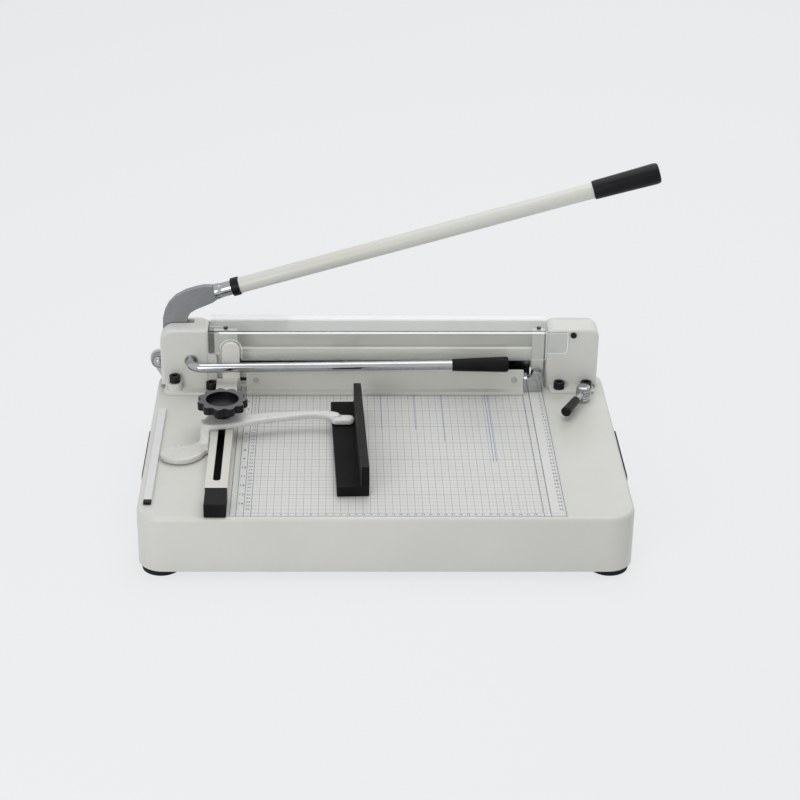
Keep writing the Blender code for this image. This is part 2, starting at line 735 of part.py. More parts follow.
def make_base_shell():
    outline = rounded((-BASE_WIDTH / 2, FRONT_Y), (BASE_WIDTH / 2, BACK_Y), [CORNER_RADIUS] * 4)
    shell = flat("base_shell", outline, "top", FOOT_HEIGHT, SHELL_HEIGHT, CREAM_PAINT, ROOT)
    bm = bmesh.new()
    bm.from_mesh(shell.data)
    floor = [face for face in bm.faces if face.normal.z < -0.9]
    bmesh.ops.delete(bm, geom=floor, context="FACES_ONLY")
    bm.to_mesh(shell.data)
    bm.free()
    round_rim(shell, EDGE_RADIUS)
    wall = shell.modifiers.new("sheet", "SOLIDIFY")
    wall.thickness = SHELL_WALL
    wall.offset = -1
    wall.use_even_offset = True
    low, high = stick_box(HOLE_GAP)
    around = Vector((GROOVE_WALL, GROOVE_WALL, GROOVE_WALL))
    top = Vector((high.x + GROOVE_WALL, high.y + GROOVE_WALL, TABLE_Z - SHELL_WALL / 2))
    join(shell, box("base_shell groove", low - around, top, CUTTER, ROOT))
    cut(shell, box("base_shell stick slot", low, high + UP * OVERRUN, CUTTER, ROOT))
    for side in (-1, 1):
        low, high = grip_box(side, HOLE_GAP)
        cut(shell, box(f"base_shell grip hole {side}", low, high, CUTTER, ROOT))
    return shell


def grip_box(side, gap=0):
    """Box of the carry grip's body, through the side wall."""
    outer = side * (BASE_WIDTH / 2 + OVERRUN)
    inner = side * (BASE_WIDTH / 2 - GRIP_DEPTH - gap)
    y0 = FRONT_Y + GRIP_FROM_FRONT - gap
    y1 = y0 + GRIP_LENGTH + 2 * gap
    z1 = TABLE_Z - GRIP_BELOW_TABLE + gap
    z0 = z1 - GRIP_HEIGHT - 2 * gap
    return Vector((min(inner, outer), y0, z0)), Vector((max(inner, outer), y1, z1))


def make_carry_grip(name, side):
    """A moulded cup with a lip that covers the edge of its hole."""
    low, high = grip_box(side)
    wall_x = side * BASE_WIDTH / 2
    lip_x = wall_x + side * SEAT_GAP
    lip_thick = GRIP_LIP_THICK if side > 0 else GRIP_LEFT_LIP_THICK
    outer_x = lip_x + side * lip_thick
    inner_x = wall_x - side * GRIP_DEPTH
    lip = rounded(
        (low.y - GRIP_LIP, low.z - GRIP_LIP),
        (high.y + GRIP_LIP, high.z + GRIP_LIP),
        [GRIP_CORNER] * 4,
    )
    cup = flat(name, lip, "side", min(lip_x, outer_x), lip_thick, BLACK_PLASTIC, ROOT)
    body_low = (min(inner_x, lip_x + side * lip_thick / 2), low.y, low.z)
    body_high = (max(inner_x, lip_x + side * lip_thick / 2), high.y, high.z)
    join(cup, box(f"{name} body", body_low, body_high, CUTTER, ROOT))
    floor_x = inner_x + side * GRIP_WALL
    mouth_x = outer_x + side * OVERRUN
    hollow = rounded(
        (low.y + GRIP_WALL, low.z + GRIP_WALL),
        (high.y - GRIP_WALL, high.z - GRIP_WALL),
        [GRIP_CORNER - GRIP_LIP] * 4,
    )
    depth = abs(mouth_x - floor_x)
    cut(cup, flat(f"{name} hollow", hollow, "side", min(floor_x, mouth_x), depth, CUTTER, ROOT))


def make_bottom():
    inset = SHELL_WALL + SEAT_GAP
    low = (-BASE_WIDTH / 2 + inset, FRONT_Y + inset)
    high = (BASE_WIDTH / 2 - inset, BACK_Y - inset)
    outline = rounded(low, high, [CORNER_RADIUS - inset] * 4)
    holes = [circle(x, y, FOOT_STEM_RADIUS + HOLE_GAP) for x, y in foot_places().values()]
    flat("bottom_plate", outline, "top", FOOT_HEIGHT, BOTTOM_THICK, DARK_STEEL, ROOT, holes)
    top = FOOT_HEIGHT - SEAT_GAP
    stem = FOOT_HEIGHT + FOOT_STEM_HEIGHT
    edge = FOOT_RADIUS - FOOT_TOE_RADIUS
    profile = [
        (0, stem),
        (FOOT_STEM_RADIUS, stem),
        (FOOT_STEM_RADIUS, top),
        (FOOT_RADIUS, top),
        (FOOT_RADIUS, edge),
        (FOOT_TOE_RADIUS, 0),
        (0, 0),
    ]
    for where, (x, y) in foot_places().items():
        turned(f"foot_{where}", profile, (x, y, 0), UP, BLACK_RUBBER, ROOT, TUBE_SIDES)


def make_sheet_and_strip():
    low = (RAIL_X1 + SHEET_SIDE_GAP, FRONT_Y + SHEET_FROM_FRONT, FLOOR_Z)
    high = (RIGHT_COVER_X0 - SHEET_SIDE_GAP, POST_Y0 - SHEET_END_GAP, SHEET_TOP_Z)
    box("grid_sheet", low, high, PRINTED_SHEET, ROOT)
    x0 = -BASE_WIDTH / 2 + STRIP_FROM_SIDE
    y0 = FRONT_Y + STRIP_FROM_FRONT
    y1 = COVER_Y0 - LEFT_FLANGE_DEPTH - STRIP_TO_COVER
    strip_high = (x0 + STRIP_WIDTH, y1, FLOOR_Z + STRIP_HEIGHT)
    box("side_strip", (x0, y0, FLOOR_Z), strip_high, WHITE_PLASTIC, ROOT, STRIP_EDGE)
    plug_high = (x0 + STRIP_WIDTH - PLUG_INSET, y0 - SEAT_GAP, FLOOR_Z + STRIP_HEIGHT)
    plug_low = (x0 + PLUG_INSET, y0 - PLUG_LENGTH, FLOOR_Z)
    box("side_strip_plug", plug_low, plug_high, BLACK_PLASTIC, ROOT, STRIP_EDGE)


def stick_box(gap=0):
    """Box of the cutting stick, its top level with the table."""
    y0 = POST_Y1 + STICK_TO_POST - gap
    low = Vector((BLADE_X0 - STICK_BEYOND_KNIFE - gap, y0, TABLE_Z - STICK_DEPTH - gap))
    high = Vector((BLADE_X1 + STICK_BEYOND_KNIFE + gap, y0 + STICK_WIDTH + 2 * gap, TABLE_Z))
    return low, high


def make_cutting_stick():
    box("cutting_stick", *stick_box(), PALE_PLASTIC, ROOT)


def make_cover(name, x0, x1, outer_radii, flange_x, flange_depth):
    """A hollow side cover, open at the back, with a flange that is bolted to the table."""
    outer = rounded((x0, FLOOR_Z), (x1, TABLE_Z + COVER_HEIGHT), [0, 0, *outer_radii])
    cover = flat(name, outer, "front", COVER_Y0, COVER_Y1 - COVER_Y0, CREAM_PAINT, ROOT)
    round_rim(cover, COVER_EDGE, foot=False)
    flange_low = (flange_x[0], COVER_Y0 - flange_depth)
    flange_high = (flange_x[1], COVER_Y0 + COVER_FRONT_WALL / 2)
    flange = rounded(flange_low, flange_high, [FLANGE_CORNER, 0, 0, 0])
    join(cover, flat(f"{name} flange", flange, "top", FLOOR_Z, FLANGE_HEIGHT, CUTTER, ROOT))
    inner_radii = [max(radius - COVER_WALL, 0) for radius in outer_radii]
    low = (x0 + COVER_WALL, TABLE_Z - OVERRUN)
    high = (x1 - COVER_WALL, TABLE_Z + COVER_HEIGHT - COVER_WALL)
    inner = rounded(low, high, [0, 0, *inner_radii])
    inside = COVER_Y0 + COVER_FRONT_WALL
    cut(cover, flat(f"{name} hollow", inner, "front", inside, COVER_Y1 + OVERRUN - inside, CUTTER, ROOT))
    return cover


def cover_bolt_hole(cover, name, x, y, top):
    drill(cover, name, (x, y, top), DOWN, COVER_BOLT_RADIUS + HOLE_GAP, top - TABLE_Z + OVERRUN)


def make_left_cover():
    flange_x = (LEFT_COVER_X0 + COVER_SMALL_CORNER, RAIL_X0 - SEAT_GAP)
    radii = [COVER_SMALL_CORNER, COVER_CORNER]
    cover = make_cover("left_cover", LEFT_COVER_X0, LEFT_COVER_X1, radii, flange_x, LEFT_FLANGE_DEPTH)
    boss_x = LEFT_COVER_X0 + BOSS_INSET
    y0 = COVER_Y0 - BOSS_DEPTH
    boss_high = (boss_x + BOSS_WIDTH, COVER_Y0 + COVER_FRONT_WALL / 2)
    boss = rounded((boss_x, y0), boss_high, [BOSS_WIDTH * BOSS_ROUND_SHARE] * 2 + [0, 0])
    level = FLOOR_Z + FLANGE_HEIGHT / 2
    height = BOSS_HEIGHT - FLANGE_HEIGHT / 2
    join(cover, flat("left_cover boss", boss, "top", level, height, CUTTER, ROOT))
    # The lever swings through a slot that is open to the left and to the top.
    slot_low = (FULCRUM.x - LUG_RADIUS - OVERRUN, LEVER_Y0 - SWING_GAP, TABLE_Z - OVERRUN)
    slot_high = (LEFT_COVER_X1 - COVER_ROOF_LEFT, COVER_Y1 + OVERRUN, TABLE_Z + COVER_HEIGHT + OVERRUN)
    cut(cover, box("left_cover lever slot", slot_low, slot_high, CUTTER, ROOT))
    # The lift plate and the knife beam come in through the open right side.
    side_low = (LEFT_COVER_X1 - COVER_WALL - OVERRUN, COVER_Y0 + COVER_FRONT_WALL, TABLE_Z - OVERRUN)
    side_high = (LEFT_COVER_X1 + OVERRUN, COVER_Y1 + OVERRUN, TABLE_Z + COVER_HEIGHT - COVER_WALL)
    cut(cover, box("left_cover side opening", side_low, side_high, CUTTER, ROOT))
    # Low down, the front wall goes on to the rail.
    wing_low = (LEFT_COVER_X1 - COVER_WALL / 2, FLOOR_Z + FLANGE_HEIGHT / 2)
    wing_high = (RAIL_X0 - SEAT_GAP, TABLE_Z + COVER_WING_HEIGHT)
    wing = rounded(wing_low, wing_high, [0, 0, COVER_WING_CORNER, 0])
    join(cover, flat("left_cover wing", wing, "front", COVER_Y0, COVER_FRONT_WALL, CUTTER, ROOT))
    radius = BUSH_BODY_RADIUS + HOLE_GAP
    drill(cover, "shaft hole", CLAMP_SHAFT, BACKWARD, radius, COVER_FRONT_WALL + OVERRUN, PIN_SIDES)
    for name, (x, y, top) in left_bolt_places().items():
        cover_bolt_hole(cover, name, x, y, top)
        make_cover_bolt(name, Vector((x, y, top)))


def left_bolt_places():
    tall = LEFT_COVER_X0 + BOSS_INSET + BOSS_WIDTH / 2
    y = COVER_Y0 - COVER_BOLT_HEAD_RADIUS - SWING_GAP
    low = RAIL_X0 - COVER_BOLT_HEAD_RADIUS - SEAT_GAP
    return {
        "left_cover_boss_bolt": (tall, y, FLOOR_Z + BOSS_HEIGHT),
        "left_cover_bolt": (low, y, FLOOR_Z + FLANGE_HEIGHT),
    }


def right_bolt_places():
    y = COVER_Y0 - COVER_BOLT_HEAD_RADIUS - SEAT_GAP
    x0 = RIGHT_COVER_X0 + 2 * RIGHT_FLANGE_INSET + COVER_BOLT_HEAD_RADIUS
    x1 = RIGHT_COVER_X1 - 2 * COVER_BOLT_HEAD_RADIUS
    top = FLOOR_Z + FLANGE_HEIGHT
    return {"right_cover_bolt_inner": (x0, y, top), "right_cover_bolt_outer": (x1, y, top)}


def make_right_cover():
    flange_x = (RIGHT_COVER_X0 + RIGHT_FLANGE_INSET, RIGHT_COVER_X1 - COVER_SMALL_CORNER)
    radii = [COVER_SHOULDER, COVER_SHOULDER]
    cover = make_cover("right_cover", RIGHT_COVER_X0, RIGHT_COVER_X1, radii, flange_x, RIGHT_FLANGE_DEPTH)
    side_low = (RIGHT_COVER_X0 - OVERRUN, KNIFE_Y - CLAMP_TO_KNIFE, TABLE_Z - OVERRUN)
    side_top = TABLE_Z + COVER_HEIGHT - COVER_SHOULDER
    side_high = (RIGHT_COVER_X0 + COVER_WALL + OVERRUN, COVER_Y1 + OVERRUN, side_top)
    cut(cover, box("right_cover side opening", side_low, side_high, CUTTER, ROOT))
    for name, (x, y, top) in right_bolt_places().items():
        cover_bolt_hole(cover, name, x, y, top)
        make_cover_bolt(name, Vector((x, y, top)))
    radius = COVER_SCREW_RADIUS + HOLE_GAP
    drill(cover, "screw hole", cover_screw_place(), BACKWARD, radius, COVER_FRONT_WALL + OVERRUN)


def cover_screw_place():
    height = TABLE_Z + COVER_HEIGHT - COVER_SCREW_DROP
    return Vector((RIGHT_COVER_X0 + COVER_SCREW_FROM_LEFT, COVER_Y0, height))


def make_cover_bolt(name, place):
    """A cap screw. Its shank ends on the table's sheet."""
    tall = place.z > FLOOR_Z + FLANGE_HEIGHT
    head = COVER_BOLT_HEAD_HEIGHT if tall else COVER_BOLT_LOW_HEAD
    length = place.z - TABLE_Z
    socket = (COVER_BOLT_SOCKET_RADIUS, COVER_BOLT_SOCKET_DEPTH)
    profile = screw_profile(COVER_BOLT_HEAD_RADIUS, head, COVER_BOLT_RADIUS, length, *socket)
    turned(name, profile, place + UP * SEAT_GAP, UP, BLACK_STEEL, ROOT)


def make_cover_screw():
    profile = screw_profile(
        COVER_SCREW_HEAD_RADIUS, COVER_SCREW_HEAD_HEIGHT, COVER_SCREW_RADIUS, COVER_SCREW_LENGTH
    )
    turned("right_cover_screw", profile, cover_screw_place() + FORWARD * SEAT_GAP, FORWARD, BLACK_STEEL, ROOT)


def frame_outline(x0, x1, lug=None):
    """Outline of a frame plate. The left one reaches past its cover at one side and has the fulcrum's lug."""
    top = TABLE_Z + COVER_HEIGHT
    points = [(x1, FLOOR_Z)]
    if lug:
        points = [(x1 + FRAME_BEYOND_COVER, FLOOR_Z), (x1 + FRAME_BEYOND_COVER, top - FRAME_CORNER)]
    points += arc(x1 - FRAME_CORNER, top - FRAME_CORNER, FRAME_CORNER, 0, 90, CORNER_STEPS)
    points += arc(x0 + FRAME_CORNER, top - FRAME_CORNER, FRAME_CORNER, 90, 180, CORNER_STEPS)
    if lug is None:
        return [*points, (x0, FLOOR_Z)]
    points += arc(lug.x, lug.z, LUG_RADIUS, 50, 225, 2 * CORNER_STEPS)
    return [*points, (lug.x + LUG_FOOT_INSET, FLOOR_Z)]


def make_frame(name, x0, x1, lug, pivot, pin_radius):
    outline = frame_outline(x0, x1, lug)
    holes = [circle(pivot.x, pivot.z, pin_radius + HOLE_GAP)]
    frame = flat(name, outline, "front", FRAME_Y0, FRAME_THICK, CREAM_PAINT, ROOT, holes)
    foot_low = (x0 + FRAME_FOOT_INSET, FRAME_Y0 + FRAME_THICK / 2, FLOOR_Z)
    foot_high = (x1 - FRAME_FOOT_INSET, FRAME_Y1 + FRAME_FOOT_DEPTH, FLOOR_Z + FRAME_FOOT_HEIGHT)
    join(frame, box(f"{name} foot", foot_low, foot_high, CUTTER, ROOT))


def make_frames():
    left_x = (LEFT_COVER_X0 + FRAME_EDGE_INSET, LEFT_COVER_X1)
    right_x = (RIGHT_COVER_X0, RIGHT_COVER_X1 - FRAME_EDGE_INSET)
    make_frame("left_frame_plate", *left_x, FULCRUM, FULCRUM, FULCRUM_PIN_RADIUS)
    make_frame("right_frame_plate", *right_x, None, LINK_PIVOT, CRANK_PIN_RADIUS)
    low = (LEFT_COVER_X1 - CROSS_OVERLAP, TABLE_Z + CROSS_BOTTOM)
    high = (RIGHT_COVER_X0 + CROSS_OVERLAP, TABLE_Z + CROSS_TOP)
    outline = rounded(low, high, [BEAM_FILLET] * 4)
    flat("cross_beam", outline, "front", CROSS_Y0, CROSS_THICK, CREAM_PAINT, ROOT)


def make_pivot_pins():
    """The fulcrum pin, whose domed head is in front of the lever, and the side link's pin."""
    head = FULCRUM_WASHER_HEIGHT + FULCRUM_DOME_HEIGHT
    profile = [
        (0, head),
        (FULCRUM_DOME_RADIUS * DOME_SHARE, head),
        (FULCRUM_DOME_RADIUS, FULCRUM_WASHER_HEIGHT + FULCRUM_DOME_HEIGHT * DOME_SHARE),
        (FULCRUM_DOME_RADIUS, FULCRUM_WASHER_HEIGHT),
        (FULCRUM_WASHER_RADIUS, FULCRUM_WASHER_HEIGHT),
        (FULCRUM_WASHER_RADIUS, 0),
        (FULCRUM_PIN_RADIUS, 0),
        (FULCRUM_PIN_RADIUS, LEVER_Y0 - FRAME_Y1),
        (0, LEVER_Y0 - FRAME_Y1),
    ]
    place = (FULCRUM.x, LEVER_Y0 - SEAT_GAP, FULCRUM.z)
    turned("fulcrum_pin", profile, place, FORWARD, PLATED_STEEL, ROOT)
    rear = FRAME_Y1 + SEAT_GAP
    profile = screw_profile(CRANK_PIN_HEAD_RADIUS, CRANK_PIN_HEAD_HEIGHT, CRANK_PIN_RADIUS, rear - LEVER_Y0)
    turned("link_pin", profile, (LINK_PIVOT.x, rear, LINK_PIVOT.z), BACKWARD, PLATED_STEEL, ROOT)


def make_lever():
    """Curved plate with its lug at the fulcrum, and the socket, collar, tube and grip on one slanted axis."""
    outer = [(FULCRUM.x + x * ARM_WIDTH, FULCRUM.z + z * ARM_HEIGHT) for x, z in LEVER_OUTER_SHARES]
    inner = [(FULCRUM.x + x * ARM_WIDTH, FULCRUM.z + z * ARM_HEIGHT) for x, z in LEVER_INNER_SHARES]
    outline = list(reversed(outer))
    outline += arc(FULCRUM.x, FULCRUM.z, LEVER_BOSS_RADIUS, 50, 262, 3 * CORNER_STEPS)
    outline += arc(CRANK.x, CRANK.z, CRANK_BOSS_RADIUS, 266, 380, 2 * CORNER_STEPS)
    outline += list(reversed(inner))
    pins = ((FULCRUM, FULCRUM_PIN_RADIUS), (CRANK, CRANK_PIN_RADIUS))
    holes = [circle(place.x, place.z, radius + HOLE_GAP) for place, radius in pins]
    flat("lever_arm", outline, "front", LEVER_Y0, LEVER_THICK, DARK_STEEL, LEVER, holes)
    return outer[-1], inner[0]


def make_lever_tube(outer_end, inner_end):
    """The pieces on the lever's long axis, which starts square to the end of the arm."""
    corners = [Vector((x, FULCRUM.y, z)) for x, z in (outer_end, inner_end)]
    end = (corners[0] + corners[1]) / 2
    along = Vector((math.cos(LEVER_REST_ANGLE), 0, math.sin(LEVER_REST_ANGLE)))
    reach = max((corner - end).dot(along) for corner in corners)
    start = end + along * (reach + SEAT_GAP)
    spigot = SOCKET_LENGTH + SPIGOT_LENGTH
    profile = [
        (0, spigot),
        (SPIGOT_RADIUS, spigot),
        (SPIGOT_RADIUS, SOCKET_LENGTH),
        (SOCKET_RADIUS, SOCKET_LENGTH),
        (SOCKET_RADIUS, SOCKET_FLARE_LENGTH),
        (SOCKET_FLARE_RADIUS, 0),
        (0, 0),
    ]
    turned("lever_socket", profile, start, along, PLATED_STEEL, LEVER, TUBE_SIDES)
    tube_start = start + along * (SOCKET_LENGTH + SEAT_GAP)
    bore = TUBE_RADIUS - TUBE_WALL
    profile = [(TUBE_RADIUS, TUBE_LENGTH), (TUBE_RADIUS, 0), (bore, 0), (bore, TUBE_LENGTH)]
    turned("lever_tube", profile, tube_start, along, PALE_PAINT, LEVER, TUBE_SIDES)
    ring = TUBE_RADIUS + HOLE_GAP
    profile = [(COLLAR_RADIUS, COLLAR_LENGTH), (COLLAR_RADIUS, 0), (ring, 0), (ring, COLLAR_LENGTH)]
    turned("lever_collar", profile, tube_start, along, BLACK_PLASTIC, LEVER, TUBE_SIDES)
    floor = TUBE_IN_GRIP + SEAT_GAP
    profile = [
        (0, LEVER_GRIP_LENGTH),
        (LEVER_GRIP_END_RADIUS - LEVER_GRIP_EDGE, LEVER_GRIP_LENGTH),
        (LEVER_GRIP_END_RADIUS, LEVER_GRIP_LENGTH - LEVER_GRIP_EDGE),
        (LEVER_GRIP_MOUTH_RADIUS, 0),
        (ring, 0),
        (ring, floor),
        (0, floor),
    ]
    grip_start = tube_start + along * (TUBE_LENGTH - TUBE_IN_GRIP)
    turned("lever_grip", profile, grip_start, along, BLACK_PLASTIC, LEVER, TUBE_SIDES)


def make_crank_pin(name, place, length_back, parent):
    """A headed pin through the knife beam, its head in front."""
    front = BEAM_Y0 - SEAT_GAP
    length = length_back - front
    profile = screw_profile(CRANK_PIN_HEAD_RADIUS, CRANK_PIN_HEAD_HEIGHT, CRANK_PIN_RADIUS, length)
    turned(name, profile, (place.x, front, place.z), FORWARD, PLATED_STEEL, parent)


def make_knife():
    top, bottom = TABLE_Z + BEAM_TOP, TABLE_Z + BEAM_BOTTOM
    outline = arc(CRANK.x, CRANK.z, BEAM_END_RADIUS, 90, 270, 2 * CORNER_STEPS)
    outline += [(BEAM_X0, CRANK.z - BEAM_END_RADIUS), (BEAM_X0 + BEAM_FILLET, bottom)]
    outline += [(BEAM_X1 - BEAM_FILLET, bottom), (BEAM_X1, LINK_END.z - BEAM_END_RADIUS)]
    outline += arc(LINK_END.x, LINK_END.z, BEAM_END_RADIUS, -90, 90, 2 * CORNER_STEPS)
    outline += [(BEAM_X1, LINK_END.z + BEAM_END_RADIUS), (BEAM_X1, top), (BEAM_X0, top)]
    outline += [(BEAM_X0, CRANK.z + BEAM_END_RADIUS)]
    holes = [circle(place.x, place.z, CRANK_PIN_RADIUS + HOLE_GAP) for place in (CRANK, LINK_END)]
    bolt_z = TABLE_Z + KNIFE_BOLT_ABOVE_TABLE
    bolt_x = (BLADE_X0 + KNIFE_BOLT_INSET, (BLADE_X0 + BLADE_X1) / 2, BLADE_X1 - KNIFE_BOLT_INSET)
    holes += [circle(x, bolt_z, KNIFE_BOLT_RADIUS + HOLE_GAP, SCREW_SIDES) for x in bolt_x]
    flat("knife_beam", outline, "front", BEAM_Y0, BEAM_THICK, PALE_PAINT, KNIFE, holes)
    z0, z1 = BLADE_Z0, BLADE_Z0 + BLADE_HEIGHT
    rear = KNIFE_Y + BLADE_THICK
    bevel_z = z0 + BLADE_BEVEL * BLADE_BEVEL_SLOPE
    section = [(KNIFE_Y, z0), (rear - BLADE_BEVEL, z0), (rear, bevel_z), (rear, z1), (KNIFE_Y, z1)]
    blade = flat("knife_blade", section, "side", BLADE_X0, BLADE_X1 - BLADE_X0, KNIFE_STEEL, KNIFE)
    for index, x in enumerate(bolt_x):
        depth = BLADE_THICK - BLADE_SKIN
        drill(blade, f"bolt hole {index}", (x, rear, bolt_z), FORWARD, KNIFE_BOLT_RADIUS + HOLE_GAP, depth)
    length = BEAM_THICK + BLADE_THICK - BLADE_SKIN
    profile = screw_profile(KNIFE_BOLT_HEAD_RADIUS, KNIFE_BOLT_HEAD_HEIGHT, KNIFE_BOLT_RADIUS, length)
    places = [(x, BEAM_Y1 + SEAT_GAP, bolt_z) for x in bolt_x]
    names = ("knife_bolt_left", "knife_bolt_middle", "knife_bolt_right")
    screws(names, profile, places, BACKWARD, BLACK_STEEL, KNIFE)


def make_link():
    outline = arc(LINK_PIVOT.x, LINK_PIVOT.z, LINK_RADIUS, 90, 270, 2 * CORNER_STEPS)
    outline += arc(LINK_END.x, LINK_END.z, LINK_RADIUS, -90, 90, 2 * CORNER_STEPS)
    holes = [circle(place.x, place.z, CRANK_PIN_RADIUS + HOLE_GAP) for place in (LINK_PIVOT, LINK_END)]
    flat("side_link", outline, "front", LEVER_Y0, LINK_THICK, DARK_STEEL, LINK, holes)


def make_posts():
    top = TABLE_Z + GUARD_TOP - GUARD_THICK - SEAT_GAP
    sides = {"left": (LEFT_POST_X0, LEFT_POST_X1), "right": (RIGHT_POST_X0, RIGHT_POST_X1)}
    for side, (x0, x1) in sides.items():
        post = box(f"guide_post_{side}", (x0, POST_Y0, FLOOR_Z), (x1, POST_Y1, top), PALE_PAINT, ROOT)
        place = ((x0 + x1) / 2, (POST_Y0 + POST_Y1) / 2, top)
        drill(post, "screw hole", place, DOWN, GUARD_SCREW_RADIUS + HOLE_GAP, GUARD_SCREW_LENGTH)


def make_guard():
    """A bent clear sheet: a front panel and a top panel, cut away round the rail's upright and left of it."""
    y0, y1 = GUARD_Y0, GUARD_Y1
    z0, z1 = TABLE_Z + GUARD_BOTTOM, TABLE_Z + GUARD_TOP
    t, bend = GUARD_THICK, GUARD_BEND
    section = [(y0, z0), (y0 + t, z0)]
    section += arc(y0 + bend, z1 - bend, bend - t, 180, 90, CORNER_STEPS // 2)
    section += [(y1, z1 - t), (y1, z1)]
    section += arc(y0 + bend, z1 - bend, bend, 90, 180, CORNER_STEPS // 2)
    guard = flat("guard", section, "side", GUARD_X0, GUARD_X1 - GUARD_X0, CLEAR_PLASTIC, ROOT)
    tab = rounded(
        (GUARD_X1 - GUARD_BEND, TABLE_Z + GUARD_TAB_BOTTOM),
        (RIGHT_COVER_X0 + GUARD_TAB_WIDTH, TABLE_Z + GUARD_TAB_TOP),
        [0, GUARD_BEND, GUARD_BEND, 0],
        CORNER_STEPS // 2,
    )
    join(guard, flat("guard tab", tab, "front", y0 + SEAT_GAP / 2, t - SEAT_GAP, CUTTER, ROOT))
    gap = GUARD_ARCH_GAP
    arch_radius = UPRIGHT_WIDTH / 2 + gap
    arch_x = (UPRIGHT_X0 + UPRIGHT_X1) / 2
    arch_z = TABLE_Z + UPRIGHT_HEIGHT - UPRIGHT_WIDTH / 2
    left, left_z = GUARD_X0 - OVERRUN, TABLE_Z + GUARD_TAB_BOTTOM
    arch = [(left, z0 - OVERRUN), (arch_x + arch_radius, z0 - OVERRUN)]
    arch += arc(arch_x, arch_z, arch_radius, 0, 180, 2 * CORNER_STEPS)
    arch += [(arch_x - arch_radius, left_z), (left, left_z)]
    cut(guard, flat("guard arch", arch, "front", y0 - OVERRUN, t + 2 * OVERRUN, CUTTER, ROOT))
    places = []
    for index, x in enumerate(((LEFT_POST_X0 + LEFT_POST_X1) / 2, (RIGHT_POST_X0 + RIGHT_POST_X1) / 2)):
        place = Vector((x, (POST_Y0 + POST_Y1) / 2, z1))
        drill(guard, f"screw hole {index}", place, DOWN, GUARD_SCREW_RADIUS + HOLE_GAP, t + OVERRUN)
        places.append(place + UP * SEAT_GAP)
    profile = screw_profile(
        GUARD_SCREW_HEAD_RADIUS, GUARD_SCREW_HEAD_HEIGHT, GUARD_SCREW_RADIUS, GUARD_SCREW_LENGTH
    )
    screws(("guard_screw_left", "guard_screw_right"), profile, places, UP, BLACK_STEEL, ROOT)


def make_clamp():
    z0, foot, top = REST_Z, REST_Z + CLAMP_FOOT_HEIGHT, REST_Z + CLAMP_HEIGHT
    section = [(CLAMP_Y0, z0), (CLAMP_Y1, z0), (CLAMP_Y1, foot), (WEB_Y1, foot), (WEB_Y1, top), (WEB_Y0, top)]
    section += arc(WEB_Y0 - CLAMP_FILLET, foot + CLAMP_FILLET, CLAMP_FILLET, 0, -90, CORNER_STEPS // 2)
    section += [(CLAMP_Y0, foot)]
    bar = flat("clamp_bar", section, "side", CLAMP_X0, CLAMP_X1 - CLAMP_X0, CREAM_PAINT, CLAMP)
    screw_z = TABLE_Z + CLAMP_SCREW_ABOVE_TABLE
    places = []
    radius = CLAMP_SCREW_RADIUS + HOLE_GAP
    for index, x in enumerate((CLAMP_X0 + CLAMP_SCREW_FROM_END, CLAMP_X1 - CLAMP_SCREW_FROM_END)):
        place = Vector((x, WEB_Y0, screw_z))
        drill(bar, f"screw hole {index}", place, BACKWARD, radius, CLAMP_WEB_THICK + OVERRUN)
        places.append(place + FORWARD * SEAT_GAP)
    profile = screw_profile(
        CLAMP_SCREW_HEAD_RADIUS, CLAMP_SCREW_HEAD_HEIGHT, CLAMP_SCREW_RADIUS, CLAMP_SCREW_LENGTH
    )
    screws(("clamp_screw_left", "clamp_screw_right"), profile, places, FORWARD, PLATED_STEEL, CLAMP)
    make_right_shoe(places[1])
    make_lift_bracket(places[0])


def shoe_tongue(name, x0, x1):
    low = (x0, WEB_Y1 + SEAT_GAP, REST_Z + CLAMP_FOOT_HEIGHT + SEAT_GAP)
    return box(name, low, (x1, SHOE_Y1, REST_Z + SHOE_TONGUE_HEIGHT), PLATED_STEEL, CLAMP)


def drill_shoe(shoe, screw):
    start = (screw.x, WEB_Y1, screw.z)
    drill(shoe, "screw hole", start, BACKWARD, CLAMP_SCREW_RADIUS + HOLE_GAP, SHOE_Y1 + OVERRUN - WEB_Y1)


def make_right_shoe(screw):
    """Behind the guard's plane the shoe is low, so that it passes under the guard as it rises."""
    x0 = CLAMP_X1 + SEAT_GAP
    x1 = RIGHT_COVER_X0 - SHOE_TO_RIGHT_COVER
    shoe = shoe_tongue("clamp_shoe_right", CLAMP_X1 - SHOE_TONGUE_LENGTH, x0 + CLAMP_FOOT_HEIGHT)
    boss_x, boss_z = RIGHT_COVER_X0 - SHOE_BOSS_FROM_COVER, REST_Z + SHOE_BOSS_HEIGHT
    outline = [(x0, REST_Z), (x1, REST_Z), (x1, REST_Z + SHOE_HEIGHT / 2)]
    outline += arc(boss_x, boss_z, SHOE_BOSS_RADIUS, -10, 190, 2 * CORNER_STEPS)
    outline += [(x0, REST_Z + SHOE_HEIGHT)]
    join(shoe, flat("clamp_shoe_right body", outline, "front", WEB_Y0, SHOE_Y1 - WEB_Y0, CUTTER, CLAMP))
    low_end = (x1, POST_Y0 - SEAT_GAP, LOW_TOP_Z)
    join(shoe, box("clamp_shoe_right heel", (x0, WEB_Y0 + CLAMP_FILLET, REST_Z), low_end, CUTTER, CLAMP))
    drill_shoe(shoe, screw)


def crank_pin_at_rest():
    """The clamp crank's pin, below and to the right of the shaft."""
    swing = CLAMP_CRANK_HALF_SWING
    return CLAMP_SHAFT + Vector((math.cos(swing), 0, -math.sin(swing))) * CLAMP_CRANK_RADIUS


